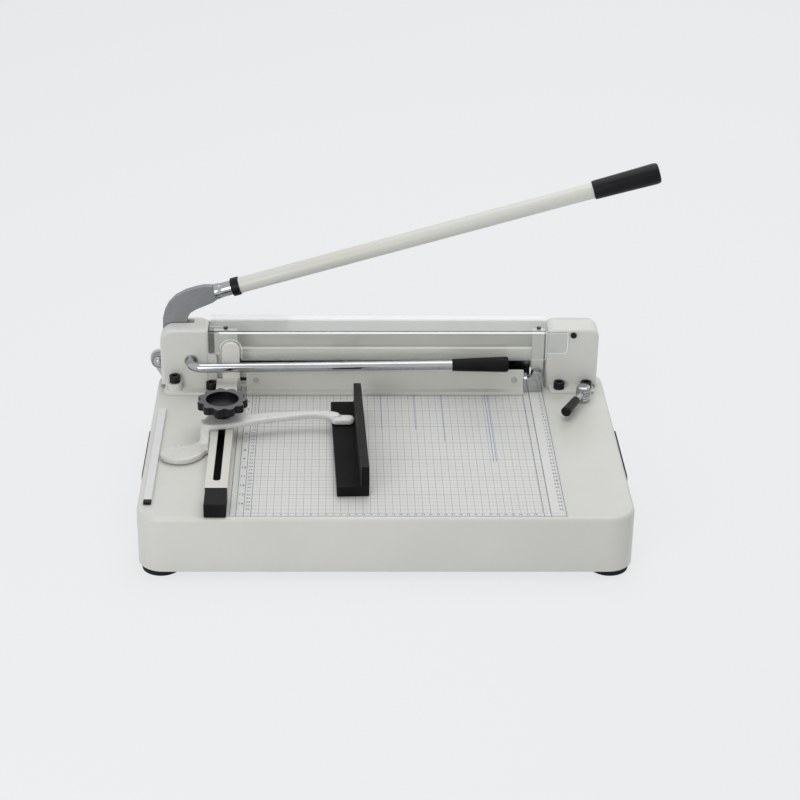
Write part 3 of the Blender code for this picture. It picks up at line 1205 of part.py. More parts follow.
def make_lift_bracket(screw):
    """The left shoe with its slotted arm, which the crank's pin lifts. It is low under the guard."""
    pin = crank_pin_at_rest()
    x0 = CLAMP_SHAFT.x + LIFT_BESIDE_SHAFT
    leg_x0, leg_x1 = CLAMP_X0 + SEAT_GAP, CLAMP_X0 + SHOE_TONGUE_LENGTH
    z0, z1 = pin.z - LIFT_HEIGHT / 2, pin.z + LIFT_HEIGHT / 2
    foot = REST_Z + CLAMP_FOOT_HEIGHT + SEAT_GAP
    slot_low = (pin.x - CLAMP_CRANK_PIN_RADIUS - LIFT_SLOT_MARGIN, pin.z - LIFT_SLOT_HEIGHT / 2)
    slot_right = CLAMP_SHAFT.x + CLAMP_CRANK_RADIUS + CLAMP_CRANK_PIN_RADIUS + LIFT_SLOT_MARGIN
    slot_high = (slot_right, pin.z + LIFT_SLOT_HEIGHT / 2)
    slot = rounded(slot_low, slot_high, [LIFT_SLOT_HEIGHT / 2 * SLOT_END_SHARE] * 4)
    outline = [(x0, z0), (leg_x0, z0), (leg_x0, foot), (leg_x1, foot), (leg_x1, z1), (x0, z1)]
    bracket = flat("lift_bracket", outline, "front", LIFT_Y0, LIFT_THICK, CREAM_PAINT, CLAMP, [slot])
    low = (leg_x0 + PLAY, WEB_Y1 + SEAT_GAP, foot)
    heel_high = (leg_x1 - PLAY, LIFT_Y0 + LIFT_THICK / 2, LOW_TOP_Z)
    join(bracket, box("lift_bracket heel", low, heel_high, CUTTER, CLAMP))
    tongue_high = (leg_x1, SHOE_Y1, REST_Z + SHOE_TONGUE_HEIGHT)
    join(bracket, box("lift_bracket tongue", (leg_x0, WEB_Y1 + SEAT_GAP, foot), tongue_high, CUTTER, CLAMP))
    drill_shoe(bracket, screw)


def make_clamp_lever():
    """A rod bent through a right angle, with a grip at its far end and a crank on its shaft."""
    shaft_end = LIFT_Y1 + PLAY + CLAMP_CRANK_THICK
    front = COVER_Y0 - CLAMP_ROD_FORWARD
    x, z = CLAMP_SHAFT.x, CLAMP_SHAFT.z
    bend = CLAMP_ROD_BEND
    points = [Vector((x, shaft_end, z))]
    for step in range(CLAMP_BEND_STEPS + 1):
        angle = math.radians(90) * step / CLAMP_BEND_STEPS
        points.append(Vector((x + bend * (1 - math.cos(angle)), front + bend * (1 - math.sin(angle)), z)))
    along = Vector((math.cos(CLAMP_ROD_RISE), 0, math.sin(CLAMP_ROD_RISE)))
    points.append(points[-1] + along * (CLAMP_ROD_REACH - bend))
    curve = bpy.data.curves.new("clamp_lever_rod", "CURVE")
    curve.dimensions = "3D"
    curve.bevel_depth = CLAMP_ROD_RADIUS
    curve.bevel_resolution = 3
    curve.use_fill_caps = True
    spline = curve.splines.new("POLY")
    spline.points.add(len(points) - 1)
    for point, place in zip(spline.points, points):
        point.co = (*(place - CLAMP_SHAFT), 1)
    spline.use_smooth = True
    add("clamp_lever_rod", curve, PLATED_STEEL, CLAMP_LEVER, CLAMP_SHAFT)
    grip_start = points[-1] - along * CLAMP_ROD_IN_GRIP
    bore = CLAMP_ROD_RADIUS + HOLE_GAP
    floor = CLAMP_ROD_IN_GRIP + SEAT_GAP
    profile = [
        (0, CLAMP_GRIP_LENGTH),
        (CLAMP_GRIP_END_RADIUS - CLAMP_GRIP_EDGE, CLAMP_GRIP_LENGTH),
        (CLAMP_GRIP_END_RADIUS, CLAMP_GRIP_LENGTH - CLAMP_GRIP_EDGE),
        (CLAMP_GRIP_MOUTH_RADIUS, 0),
        (bore, 0),
        (bore, floor),
        (0, floor),
    ]
    turned("clamp_lever_grip", profile, grip_start, along, BLACK_PLASTIC, CLAMP_LEVER)
    make_clamp_crank()


def make_clamp_crank():
    pin = crank_pin_at_rest()
    level = LIFT_Y1 + PLAY
    swing = math.degrees(CLAMP_CRANK_HALF_SWING)
    hub = CLAMP_CRANK_HUB_RADIUS
    outline = arc(CLAMP_SHAFT.x, CLAMP_SHAFT.z, hub, 70 - swing, 290 - swing, 2 * CORNER_STEPS)
    outline += arc(pin.x, pin.z, CLAMP_CRANK_EYE_RADIUS, -90 - swing, 90 - swing, 2 * CORNER_STEPS)
    hole = circle(CLAMP_SHAFT.x, CLAMP_SHAFT.z, CLAMP_ROD_RADIUS + HOLE_GAP)
    crank = flat("clamp_crank", outline, "front", level, CLAMP_CRANK_THICK, DARK_STEEL, CLAMP_LEVER, [hole])
    start = (pin.x, LIFT_Y0, pin.z)
    end = (pin.x, level + CLAMP_CRANK_THICK / 2, pin.z)
    join(crank, rod("clamp_crank pin", start, end, CLAMP_CRANK_PIN_RADIUS, CUTTER, CLAMP_LEVER))
    ring = CLAMP_ROD_RADIUS + HOLE_GAP
    profile = [
        (BUSH_FLANGE_RADIUS, BUSH_FLANGE_THICK),
        (BUSH_FLANGE_RADIUS, 0),
        (BUSH_BODY_RADIUS, 0),
        (BUSH_BODY_RADIUS, -(LIFT_Y1 - COVER_Y0)),
        (ring, -(LIFT_Y1 - COVER_Y0)),
        (ring, BUSH_FLANGE_THICK),
    ]
    turned("clamp_shaft_bush", profile, CLAMP_SHAFT + FORWARD * SEAT_GAP, FORWARD, DARK_STEEL, ROOT)


def make_rail():
    """A channel with a slot along its top, its front end closed by a cap and its back by an upright."""
    cap_y0 = FRONT_Y + RAIL_CAP_FROM_FRONT
    cap_y1 = cap_y0 + RAIL_CAP_LENGTH
    y0, y1 = cap_y1 + SEAT_GAP, UPRIGHT_Y0 - SEAT_GAP
    low, high = (RAIL_X0 + RAIL_CAP_INSET, cap_y0, FLOOR_Z), (RAIL_X1, cap_y1, RAIL_TOP_Z)
    cap = box("rail_cap", low, high, BLACK_PLASTIC, ROOT, RAIL_CAP_EDGE)
    rail = box("side_rail", (RAIL_X0, y0, FLOOR_Z), (RAIL_X1, y1, RAIL_TOP_Z), PALE_PAINT, ROOT)
    low = (RAIL_X0 + RAIL_WALL, y0 - OVERRUN, FLOOR_Z + RAIL_WALL)
    high = (RAIL_X1 - RAIL_WALL, y1 - RAIL_WALL, RAIL_TOP_Z - RAIL_WALL)
    cut(rail, box("side_rail hollow", low, high, CUTTER, ROOT))
    half = RAIL_SLOT_WIDTH / 2
    slot_low = (RAIL_X - half, FRONT_Y + RAIL_SLOT_FROM_FRONT)
    slot_high = (RAIL_X + half, y1 - RAIL_SLOT_BACK_MARGIN)
    slot = rounded(slot_low, slot_high, [half * SLOT_END_SHARE] * 4)
    depth = 2 * RAIL_WALL
    cut(rail, flat("side_rail slot", slot, "top", RAIL_TOP_Z - depth, depth + OVERRUN, CUTTER, ROOT))
    low = (RAIL_X0 + RAIL_WALL + HOLE_GAP, cap_y1 - OVERRUN, FLOOR_Z + RAIL_WALL + HOLE_GAP)
    high = (RAIL_X1 - RAIL_WALL - HOLE_GAP, y0 + 2 * RAIL_WALL, RAIL_TOP_Z - RAIL_WALL - HOLE_GAP)
    join(cap, box("rail_cap spigot", low, high, CUTTER, ROOT))
    radius = UPRIGHT_WIDTH / 2
    outline = [(UPRIGHT_X0, FLOOR_Z), (UPRIGHT_X1, FLOOR_Z)]
    outline += arc(UPRIGHT_X0 + radius, TABLE_Z + UPRIGHT_HEIGHT - radius, radius, 0, 180, 2 * CORNER_STEPS)
    flat("rail_upright", outline, "front", UPRIGHT_Y0, UPRIGHT_THICK, PALE_PAINT, ROOT)


def gauge_neck():
    """The sloping part of the arm, beside the rail, from the hub down to the paddle."""
    top, low = GAUGE.z + ARM_THICK - SEAT_GAP, REST_Z + SEAT_GAP
    foot_top = REST_Z + PADDLE_HEIGHT - SEAT_GAP
    under = GAUGE.z + SEAT_GAP
    section = [
        (GAUGE.y - NECK_TOP_BACK, under),
        (GAUGE.y - NECK_TOP_BACK, top),
        (GAUGE.y - NECK_TOP_FRONT, top),
        (GAUGE.y - NECK_FOOT_BACK - NECK_STEP, foot_top),
        (GAUGE.y - NECK_FOOT_FRONT, foot_top),
        (GAUGE.y - NECK_FOOT_FRONT, low),
        (GAUGE.y - NECK_FOOT_BACK, low),
        (GAUGE.y - NECK_TOP_FRONT + NECK_STEP / 2, under),
    ]
    x0, x1 = GAUGE.x + NECK_X0_SHARE * ARM_SPAN_X, GAUGE.x + NECK_X1_SHARE * ARM_SPAN_X
    return flat("gauge_arm neck", section, "side", x0, x1 - x0, CUTTER, SLIDER)


def make_gauge():
    """Slide nut with its stud, and the cast arm, whose finger ends in a dowel in the stack block."""
    top = RAIL_TOP_Z - RAIL_WALL - NUT_SIDE_GAP
    half = RAIL_WIDTH / 2 - RAIL_WALL - NUT_SIDE_GAP
    low = (GAUGE.x - half, GAUGE.y - NUT_LENGTH / 2, top - NUT_HEIGHT)
    high = (GAUGE.x + half, GAUGE.y + NUT_LENGTH / 2, top)
    nut = box("gauge_nut", low, high, PLATED_STEEL, SLIDER)
    stud_top = GAUGE.z + ARM_THICK + KNOB_BORE_DEPTH
    stud_low = (GAUGE.x, GAUGE.y, top - NUT_HEIGHT / 2)
    join(nut, rod("gauge_nut stud", stud_low, (GAUGE.x, GAUGE.y, stud_top), STUD_RADIUS, CUTTER, SLIDER))
    outline = smooth([(GAUGE.x + x * ARM_SPAN_X, GAUGE.y + y * ARM_SPAN_Y) for x, y in GAUGE_ARM_SHARES])
    arm = flat("gauge_arm", outline, "top", GAUGE.z, ARM_THICK, CAST_CREAM, SLIDER, edge=ARM_EDGE)
    outline = smooth([(GAUGE.x + x * ARM_SPAN_X, GAUGE.y + y * ARM_SPAN_Y) for x, y in PADDLE_SHARES])
    join(arm, flat("gauge_arm paddle", outline, "top", REST_Z, PADDLE_HEIGHT, CUTTER, SLIDER, edge=PADDLE_EDGE))
    join(arm, gauge_neck())
    radius = STUD_RADIUS + HOLE_GAP
    drill(arm, "stud hole", GAUGE + UP * ARM_THICK, DOWN, radius, ARM_THICK + OVERRUN, PIN_SIDES)
    finger_x = GAUGE.x + FINGER_REACH
    finger_y = GAUGE.y + FINGER_BACK
    base_top = REST_Z + BLOCK_BASE
    outline = rounded(
        (finger_x - FINGER_LENGTH / 2, finger_y - FINGER_WIDTH / 2),
        (finger_x + FINGER_LENGTH / 2, finger_y + FINGER_WIDTH / 2),
        [FINGER_WIDTH * FINGER_ROUND_SHARE] * 4,
    )
    level = base_top + SEAT_GAP
    join(arm, flat("gauge_arm finger", outline, "top", level, FINGER_HEIGHT, CUTTER, SLIDER, edge=ARM_EDGE))
    dowel = Vector((finger_x, finger_y, base_top))
    end = dowel + UP * FINGER_HEIGHT / 2
    join(arm, rod("gauge_arm dowel", dowel + DOWN * DOWEL_LENGTH, end, DOWEL_RADIUS, CUTTER, SLIDER))
    make_block(dowel)


def make_block(dowel):
    """A step-shaped block, wide at the foot, that takes the finger's dowel."""
    middle_x = GAUGE.x + BLOCK_SHIFT_X
    x0, x1 = middle_x - BLOCK_WIDTH / 2, middle_x + BLOCK_WIDTH / 2
    y0, y1 = FRONT_Y + BLOCK_FROM_FRONT, CLAMP_Y0 - BLOCK_TO_CLAMP
    z0 = REST_Z
    section = [(x0, z0), (x1, z0), (x1, z0 + BLOCK_HEIGHT), (x1 - BLOCK_WALL, z0 + BLOCK_HEIGHT)]
    section += [(x1 - BLOCK_WALL, z0 + BLOCK_BASE), (x0, z0 + BLOCK_BASE)]
    block = flat("gauge_block", section, "front", y0, y1 - y0, BLACK_PLASTIC, SLIDER, edge=BLOCK_EDGE)
    block.rotation_euler.rotate_axis("Y", BLOCK_TURN)
    drill(block, "dowel hole", dowel, DOWN, DOWEL_RADIUS + HOLE_GAP, DOWEL_LENGTH + HOLE_GAP, PIN_SIDES)


def make_knob():
    """A hand knob with wide lobes, narrow valleys and a dished top, on a round stem."""
    count = KNOB_LOBES * KNOB_STEPS
    outline = []
    for index in range(count):
        angle = 2 * math.pi * index / count
        wave = math.hypot(math.cos(KNOB_LOBES * angle / 2), KNOB_VALLEY_SHARE)
        radius = KNOB_RADIUS + KNOB_LOBE * (2 * wave - 1)
        outline.append((GAUGE.x + radius * math.cos(angle), GAUGE.y + radius * math.sin(angle)))
    level = GAUGE.z + ARM_THICK + SEAT_GAP
    body = level + KNOB_STEM_HEIGHT
    knob = flat("gauge_knob", outline, "top", body, KNOB_HEIGHT, BLACK_PLASTIC, KNOB, edge=KNOB_EDGE)
    stem_top = (GAUGE.x, GAUGE.y, body + KNOB_HEIGHT / 2)
    join(knob, rod("gauge_knob stem", (GAUGE.x, GAUGE.y, level), stem_top, KNOB_STEM_RADIUS, CUTTER, KNOB))
    top = Vector((GAUGE.x, GAUGE.y, body + KNOB_HEIGHT))
    drill(knob, "dish", top, DOWN, KNOB_RECESS_RADIUS, KNOB_RECESS_DEPTH, 2 * PIN_SIDES)
    bottom = (GAUGE.x, GAUGE.y, level)
    drill(knob, "bore", bottom, UP, STUD_RADIUS + HOLE_GAP, KNOB_BORE_DEPTH + HOLE_GAP, PIN_SIDES)


def make_lock_lever():
    """A standing hub whose stud turns in the table, with an arm and grip that point forwards and left."""
    profile = [
        (0, LOCK_HUB_HEIGHT),
        (LOCK_HUB_RADIUS - LOCK_HUB_EDGE, LOCK_HUB_HEIGHT),
        (LOCK_HUB_RADIUS, LOCK_HUB_HEIGHT - LOCK_HUB_EDGE),
        (LOCK_HUB_RADIUS, 0),
        (LOCK_STUD_RADIUS, 0),
        (LOCK_STUD_RADIUS, -LOCK_STUD_DEPTH),
        (0, -LOCK_STUD_DEPTH),
    ]
    hub = turned("lock_lever", profile, LOCK, UP, PLATED_STEEL, LOCK_LEVER)
    along = Vector((math.cos(LOCK_TURN), math.sin(LOCK_TURN), 0))
    start = LOCK + UP * LOCK_ARM_HEIGHT + along * LOCK_HUB_RADIUS / 2
    end = LOCK + UP * LOCK_ARM_HEIGHT + along * (LOCK_ARM_LENGTH + LOCK_GRIP_LENGTH / 2)
    join(hub, rod("lock_lever arm", start, end, LOCK_ARM_RADIUS, CUTTER, LOCK_LEVER))
    grip_start = LOCK + UP * LOCK_ARM_HEIGHT + along * LOCK_ARM_LENGTH
    bore = LOCK_ARM_RADIUS + HOLE_GAP
    floor = LOCK_GRIP_LENGTH / 2 + SEAT_GAP
    profile = [
        (0, LOCK_GRIP_LENGTH),
        (LOCK_GRIP_RADIUS - LOCK_GRIP_EDGE, LOCK_GRIP_LENGTH),
        (LOCK_GRIP_RADIUS, LOCK_GRIP_LENGTH - LOCK_GRIP_EDGE),
        (LOCK_GRIP_RADIUS, 0),
        (bore, 0),
        (bore, floor),
        (0, floor),
    ]
    turned("lock_lever_grip", profile, grip_start, along, BLACK_PLASTIC, LOCK_LEVER)


def drill_base(shell):
    """Hole in the table for the lock lever's stud."""
    place = (LOCK.x, LOCK.y, TABLE_Z)
    drill(shell, "stud hole", place, DOWN, LOCK_STUD_RADIUS + HOLE_GAP, SHELL_WALL + OVERRUN, PIN_SIDES)


def stand_on_origin():
    """Puts the origin under the middle of the whole machine's box."""
    bpy.context.view_layer.update()
    depsgraph = bpy.context.evaluated_depsgraph_get()
    points = []
    for obj in PARTS.objects:
        if obj.type != "EMPTY":
            final = obj.evaluated_get(depsgraph)
            points += [final.matrix_world @ vert.co for vert in final.to_mesh().vertices]
            final.to_mesh_clear()
    low = Vector([min(point[axis] for point in points) for axis in range(3)])
    high = Vector([max(point[axis] for point in points) for axis in range(3)])
    middle = (low + high) / 2
    ROOT.location = (-middle.x, -middle.y, -low.z)


clear_objects()
PARTS = new_collection("paper_cutter")
CUTTERS = new_collection("cutters")
CUTTERS.hide_render = True
ROOT = axis_empty("paper_cutter_origin", (0, 0, 0))
LEVER = axis_empty("lever_axis", FULCRUM, ROOT)
KNIFE = axis_empty("knife_axis", CRANK, LEVER)
LINK = axis_empty("link_axis", LINK_PIVOT, ROOT)
CLAMP = axis_empty("clamp_slide", (CLAMP_X0, WEB_Y0, REST_Z), ROOT)
CLAMP_LEVER = axis_empty("clamp_lever_axis", CLAMP_SHAFT, ROOT)
SLIDER = axis_empty("gauge_slide", GAUGE, ROOT)
KNOB = axis_empty("knob_axis", GAUGE, SLIDER)
LOCK_LEVER = axis_empty("lock_lever_axis", LOCK, ROOT)

base_shell = make_base_shell()
drill_base(base_shell)
make_bottom()
make_carry_grip("carry_grip_left", -1)
make_carry_grip("carry_grip_right", 1)
make_sheet_and_strip()
make_cutting_stick()
make_left_cover()
make_right_cover()
make_cover_screw()
make_frames()
make_pivot_pins()
make_lever_tube(*make_lever())
make_crank_pin("crank_pin", CRANK, LEVER_Y1, LEVER)
make_knife()
make_crank_pin("beam_pin", LINK_END, LEVER_Y0 + LINK_THICK, KNIFE)
make_link()
make_posts()
make_guard()
make_clamp()
make_clamp_lever()
make_rail()
make_gauge()
make_knob()
make_lock_lever()
stand_on_origin()
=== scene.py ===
"""Looks of a manual stack paper cutter: paint, steel, moulded plastic, printed sheet and clear guard."""

import json
import math

import bpy
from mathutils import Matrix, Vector


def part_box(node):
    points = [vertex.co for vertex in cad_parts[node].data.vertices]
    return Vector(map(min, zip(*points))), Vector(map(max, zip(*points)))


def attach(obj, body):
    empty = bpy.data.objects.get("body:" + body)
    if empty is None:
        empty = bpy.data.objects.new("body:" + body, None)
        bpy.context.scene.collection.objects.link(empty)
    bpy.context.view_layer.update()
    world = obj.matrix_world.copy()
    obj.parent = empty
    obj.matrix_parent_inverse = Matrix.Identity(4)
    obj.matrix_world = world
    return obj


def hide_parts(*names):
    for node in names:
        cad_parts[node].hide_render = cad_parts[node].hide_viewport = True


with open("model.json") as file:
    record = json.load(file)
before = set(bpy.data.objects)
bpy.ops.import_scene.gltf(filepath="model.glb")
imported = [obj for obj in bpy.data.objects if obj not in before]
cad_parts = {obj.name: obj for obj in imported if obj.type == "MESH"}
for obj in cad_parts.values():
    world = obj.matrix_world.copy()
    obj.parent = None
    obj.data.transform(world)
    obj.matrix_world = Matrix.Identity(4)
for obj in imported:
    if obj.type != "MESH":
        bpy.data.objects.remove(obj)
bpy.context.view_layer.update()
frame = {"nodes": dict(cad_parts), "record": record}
BODY_OF = {node: body for body, nodes in frame["record"]["behaviour"]["bodies"].items() for node in nodes}


# Selecting and shaping

def clear_selection():
    if bpy.context.object and bpy.context.object.mode != "OBJECT":
        bpy.ops.object.mode_set(mode="OBJECT")
    bpy.ops.object.select_all(action="DESELECT")


def work_on(piece):
    clear_selection()
    piece.select_set(True)
    bpy.context.view_layer.objects.active = piece


def settle(piece):
    """Puts the piece's place, turn and size into its mesh."""
    work_on(piece)
    bpy.ops.object.transform_apply(location=True, rotation=True, scale=True)
    return piece


def edit_all(piece, mode="FACE"):
    work_on(piece)
    bpy.ops.object.mode_set(mode="EDIT")
    bpy.ops.mesh.select_mode(type=mode)
    bpy.ops.mesh.select_all(action="SELECT")


def pick_edges(piece, test):
    """Selects the edges whose two ends pass the test, and stays in edit mode."""
    edit_all(piece, "EDGE")
    bpy.ops.mesh.select_all(action="DESELECT")
    bpy.ops.object.mode_set(mode="OBJECT")
    spots = piece.data.vertices
    for edge in piece.data.edges:
        start, end = (spots[index].co for index in edge.vertices)
        edge.select = test(start, end)
    bpy.ops.object.mode_set(mode="EDIT")


def pick_faces(piece, test):
    """Selects the faces whose centre and normal pass the test, and stays in edit mode."""
    edit_all(piece, "FACE")
    bpy.ops.mesh.select_all(action="DESELECT")
    bpy.ops.object.mode_set(mode="OBJECT")
    for face in piece.data.polygons:
        face.select = test(face.center, face.normal)
    bpy.ops.object.mode_set(mode="EDIT")


def leave_edit():
    bpy.ops.object.mode_set(mode="OBJECT")


def apply_all(piece):
    work_on(piece)
    for modifier in list(piece.modifiers):
        bpy.ops.object.modifier_apply(modifier=modifier.name)
    return piece


def smooth_shade(piece, angle=35.0):
    work_on(piece)
    bpy.ops.object.shade_smooth_by_angle(angle=math.radians(angle))
    return piece


def bevel_corners(piece, width, segments=3, angle=30.0):
    """Rounds every sharp edge of the piece."""
    bevel = piece.modifiers.new("rounded edges", "BEVEL")
    bevel.width = width
    bevel.segments = segments
    bevel.limit_method = "ANGLE"
    bevel.angle_limit = math.radians(angle)
    bevel.harden_normals = False
    return apply_all(piece)


def carve(piece, cutter):
    """Takes the cutter's shape out of the piece, then deletes the cutter."""
    step = piece.modifiers.new("carve", "BOOLEAN")
    step.operation = "DIFFERENCE"
    step.solver = "EXACT"
    step.object = cutter
    apply_all(piece)
    bpy.data.objects.remove(cutter, do_unlink=True)
    return piece


def block(name, low, high):
    """A cube placed by two opposite corners."""
    low, high = Vector(low), Vector(high)
    clear_selection()
    bpy.ops.mesh.primitive_cube_add(size=1, location=(low + high) / 2)
    piece = bpy.context.object
    piece.name = name
    piece.scale = high - low
    return settle(piece)


def lathe(name, rings, place, axis, sides=64):
    """A round piece grown ring by ring: each ring is (radius, height) along the axis from the place."""
    clear_selection()
    radius, height = rings[0]
    bpy.ops.mesh.primitive_circle_add(vertices=sides, radius=radius, fill_type="NGON", location=(0, 0, height))
    piece = bpy.context.object
    piece.name = name
    settle(piece)
    edit_all(piece)
    for next_radius, next_height in rings[1:]:
        bpy.ops.mesh.extrude_region_move(TRANSFORM_OT_translate={"value": (0, 0, next_height - height)})
        share = next_radius / radius
        middle = (0, 0, next_height)
        bpy.ops.transform.resize(value=(share, share, 1), center_override=middle)
        radius, height = next_radius, next_height
    bpy.ops.mesh.select_all(action="SELECT")
    bpy.ops.mesh.remove_doubles(threshold=0.000001)
    bpy.ops.mesh.normals_make_consistent(inside=False)
    leave_edit()
    piece.rotation_euler = Vector((0, 0, 1)).rotation_difference(Vector(axis)).to_euler()
    piece.location = place
    settle(piece)
    return smooth_shade(piece)


def finished_copy(name, node, width, segments=3, angle=30.0):
    """A merged copy of a solid, with its edges rounded."""
    piece = bpy.data.objects.new(name, frame["nodes"][node].data.copy())
    bpy.context.scene.collection.objects.link(piece)
    piece.data.materials.clear()
    edit_all(piece)
    bpy.ops.mesh.remove_doubles(threshold=0.000002)
    bpy.ops.mesh.dissolve_limited(angle_limit=math.radians(0.5))
    leave_edit()
    bevel_corners(piece, width, segments, angle)
    smooth_shade(piece, 40)
    even = piece.modifiers.new("even shading", "WEIGHTED_NORMAL")
    even.keep_sharp = True
    apply_all(piece)
    stands_for(piece, node)
    return piece


def stands_for(piece, node):
    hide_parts(node)
    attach(piece, BODY_OF[node])
    return piece


# Shader node groups

def new_group(name, inputs, outputs):
    group = bpy.data.node_groups.new(name, "ShaderNodeTree")
    for label, kind, value in inputs:
        socket = group.interface.new_socket(name=label, in_out="INPUT", socket_type=kind)
        if value is not None:
            socket.default_value = value
    for label, kind in outputs:
        group.interface.new_socket(name=label, in_out="OUTPUT", socket_type=kind)
    start = group.nodes.new("NodeGroupInput")
    end = group.nodes.new("NodeGroupOutput")
    return group, start, end


def noise(tree, vector, scale, detail=3.0, roughness=0.5):
    node = tree.nodes.new("ShaderNodeTexNoise")
    node.inputs["Detail"].default_value = detail
    node.inputs["Roughness"].default_value = roughness
    tree.links.new(vector, node.inputs["Vector"])
    node.inputs["Scale"].default_value = scale
    return node.outputs["Fac"]


def spread(tree, value, low, high, from_low=0.3, from_high=0.7):
    """Stretches a value from one range over another."""
    node = tree.nodes.new("ShaderNodeMapRange")
    node.inputs["From Min"].default_value = from_low
    node.inputs["From Max"].default_value = from_high
    for label, bound in (("To Min", low), ("To Max", high)):
        if isinstance(bound, (int, float)):
            node.inputs[label].default_value = bound
        else:
            tree.links.new(bound, node.inputs[label])
    tree.links.new(value, node.inputs["Value"])
    return node.outputs["Result"]


def calc(tree, operation, first, second=None):
    """One step of arithmetic on two numbers or sockets."""
    node = tree.nodes.new("ShaderNodeMath")
    node.operation = operation
    for index, value in enumerate((first, second)):
        if isinstance(value, (int, float)):
            node.inputs[index].default_value = value
        elif value is not None:
            tree.links.new(value, node.inputs[index])
    return node.outputs["Value"]


def blend_colors(tree, share, first, second):
    node = tree.nodes.new("ShaderNodeMix")
    node.data_type = "RGBA"
    tree.links.new(share, node.inputs["Factor"])
    for label, color in (("A", first), ("B", second)):
        socket = [entry for entry in node.inputs if entry.name == label and entry.type == "RGBA"][0]
        if isinstance(color, tuple):
            socket.default_value = color
        else:
            tree.links.new(color, socket)
    return [entry for entry in node.outputs if entry.type == "RGBA"][0]


def mix_shaders(tree, share, first, second, output):
    mix = tree.nodes.new("ShaderNodeMixShader")
    tree.links.new(share, mix.inputs["Fac"])
    tree.links.new(first, mix.inputs[1])
    tree.links.new(second, mix.inputs[2])
    tree.links.new(mix.outputs["Shader"], tree.nodes[output].inputs["Surface"])


def make_paint_group():
    """Sprayed enamel: a fine orange peel, faint clouding and a little dirt in patches."""
    inputs = [
        ("Vector", "NodeSocketVector", None),
        ("Paint", "NodeSocketColor", (0.7, 0.7, 0.65, 1)),
        ("Dirt", "NodeSocketColor", (0.4, 0.4, 0.35, 1)),
        ("Dirt Amount", "NodeSocketFloat", 0.2),
        ("Gloss Low", "NodeSocketFloat", 0.28),
        ("Gloss High", "NodeSocketFloat", 0.42),
    ]
    outputs = [("Color", "NodeSocketColor"), ("Roughness", "NodeSocketFloat"), ("Height", "NodeSocketFloat")]
    group, start, end = new_group("Sprayed enamel", inputs, outputs)
    vector = start.outputs["Vector"]
    cloud = noise(group, vector, 7.0, 4.0)
    speck = noise(group, vector, 260.0, 2.0)
    patch = spread(group, cloud, 0.0, start.outputs["Dirt Amount"], 0.45, 0.72)
    dots = spread(group, speck, 0.0, start.outputs["Dirt Amount"], 0.66, 0.78)
    dirt = calc(group, "MAXIMUM", patch, dots)
    color = blend_colors(group, dirt, start.outputs["Paint"], start.outputs["Dirt"])
    group.links.new(color, end.inputs["Color"])
    gloss = noise(group, vector, 24.0, 3.0)
    roughness = spread(group, gloss, start.outputs["Gloss Low"], start.outputs["Gloss High"])
    group.links.new(roughness, end.inputs["Roughness"])
    peel = noise(group, vector, 420.0, 2.0)
    wave = noise(group, vector, 60.0, 1.0)
    height = calc(group, "ADD", peel, calc(group, "MULTIPLY", wave, 0.8))
    group.links.new(height, end.inputs["Height"])
    return group


def make_metal_group():
    """Worked steel: streaks along the stretched axis, cloudy stains and fine scratches."""
    inputs = [
        ("Vector", "NodeSocketVector", None),
        ("Streaks", "NodeSocketVector", None),
        ("Bright", "NodeSocketColor", (0.6, 0.6, 0.6, 1)),
        ("Dull", "NodeSocketColor", (0.3, 0.3, 0.3, 1)),
        ("Gloss Low", "NodeSocketFloat", 0.15),
        ("Gloss High", "NodeSocketFloat", 0.35),
    ]
    outputs = [("Color", "NodeSocketColor"), ("Roughness", "NodeSocketFloat"), ("Height", "NodeSocketFloat")]
    group, start, end = new_group("Worked steel", inputs, outputs)
    streak = noise(group, start.outputs["Streaks"], 320.0, 3.0, 0.6)
    cloud = noise(group, start.outputs["Vector"], 38.0, 4.0, 0.6)
    streak_share, cloud_share = 0.55, 0.45
    streak_part = calc(group, "MULTIPLY", streak, streak_share)
    mixed = calc(group, "ADD", streak_part, calc(group, "MULTIPLY", cloud, cloud_share))
    shade = spread(group, mixed, 0.0, 1.0, 0.36, 0.62)
    color = blend_colors(group, shade, start.outputs["Dull"], start.outputs["Bright"])
    group.links.new(color, end.inputs["Color"])
    roughness = spread(group, mixed, start.outputs["Gloss High"], start.outputs["Gloss Low"], 0.36, 0.62)
    group.links.new(roughness, end.inputs["Roughness"])
    group.links.new(streak, end.inputs["Height"])
    return group


def make_moulding_group():
    """Moulded plastic or rubber: spark-eroded grain, faint dust and rubbed patches."""
    inputs = [
        ("Vector", "NodeSocketVector", None),
        ("Plastic", "NodeSocketColor", (0.02, 0.02, 0.02, 1)),
        ("Dust", "NodeSocketColor", (0.2, 0.2, 0.2, 1)),
        ("Dust Amount", "NodeSocketFloat", 0.25),
        ("Gloss Low", "NodeSocketFloat", 0.4),
        ("Gloss High", "NodeSocketFloat", 0.62),
    ]
    outputs = [("Color", "NodeSocketColor"), ("Roughness", "NodeSocketFloat"), ("Height", "NodeSocketFloat")]
    group, start, end = new_group("Moulded grain", inputs, outputs)
    vector = start.outputs["Vector"]
    cloud = noise(group, vector, 30.0, 5.0, 0.6)
    dust = spread(group, cloud, 0.0, start.outputs["Dust Amount"], 0.4, 0.75)
    color = blend_colors(group, dust, start.outputs["Plastic"], start.outputs["Dust"])
    group.links.new(color, end.inputs["Color"])
    roughness = spread(group, cloud, start.outputs["Gloss Low"], start.outputs["Gloss High"])
    group.links.new(roughness, end.inputs["Roughness"])
    cells = group.nodes.new("ShaderNodeTexVoronoi")
    cells.inputs["Scale"].default_value = 1500.0
    group.links.new(vector, cells.inputs["Vector"])
    fine = noise(group, vector, 900.0, 2.0)
    height = calc(group, "ADD", cells.outputs["Distance"], fine)
    group.links.new(height, end.inputs["Height"])
    return group


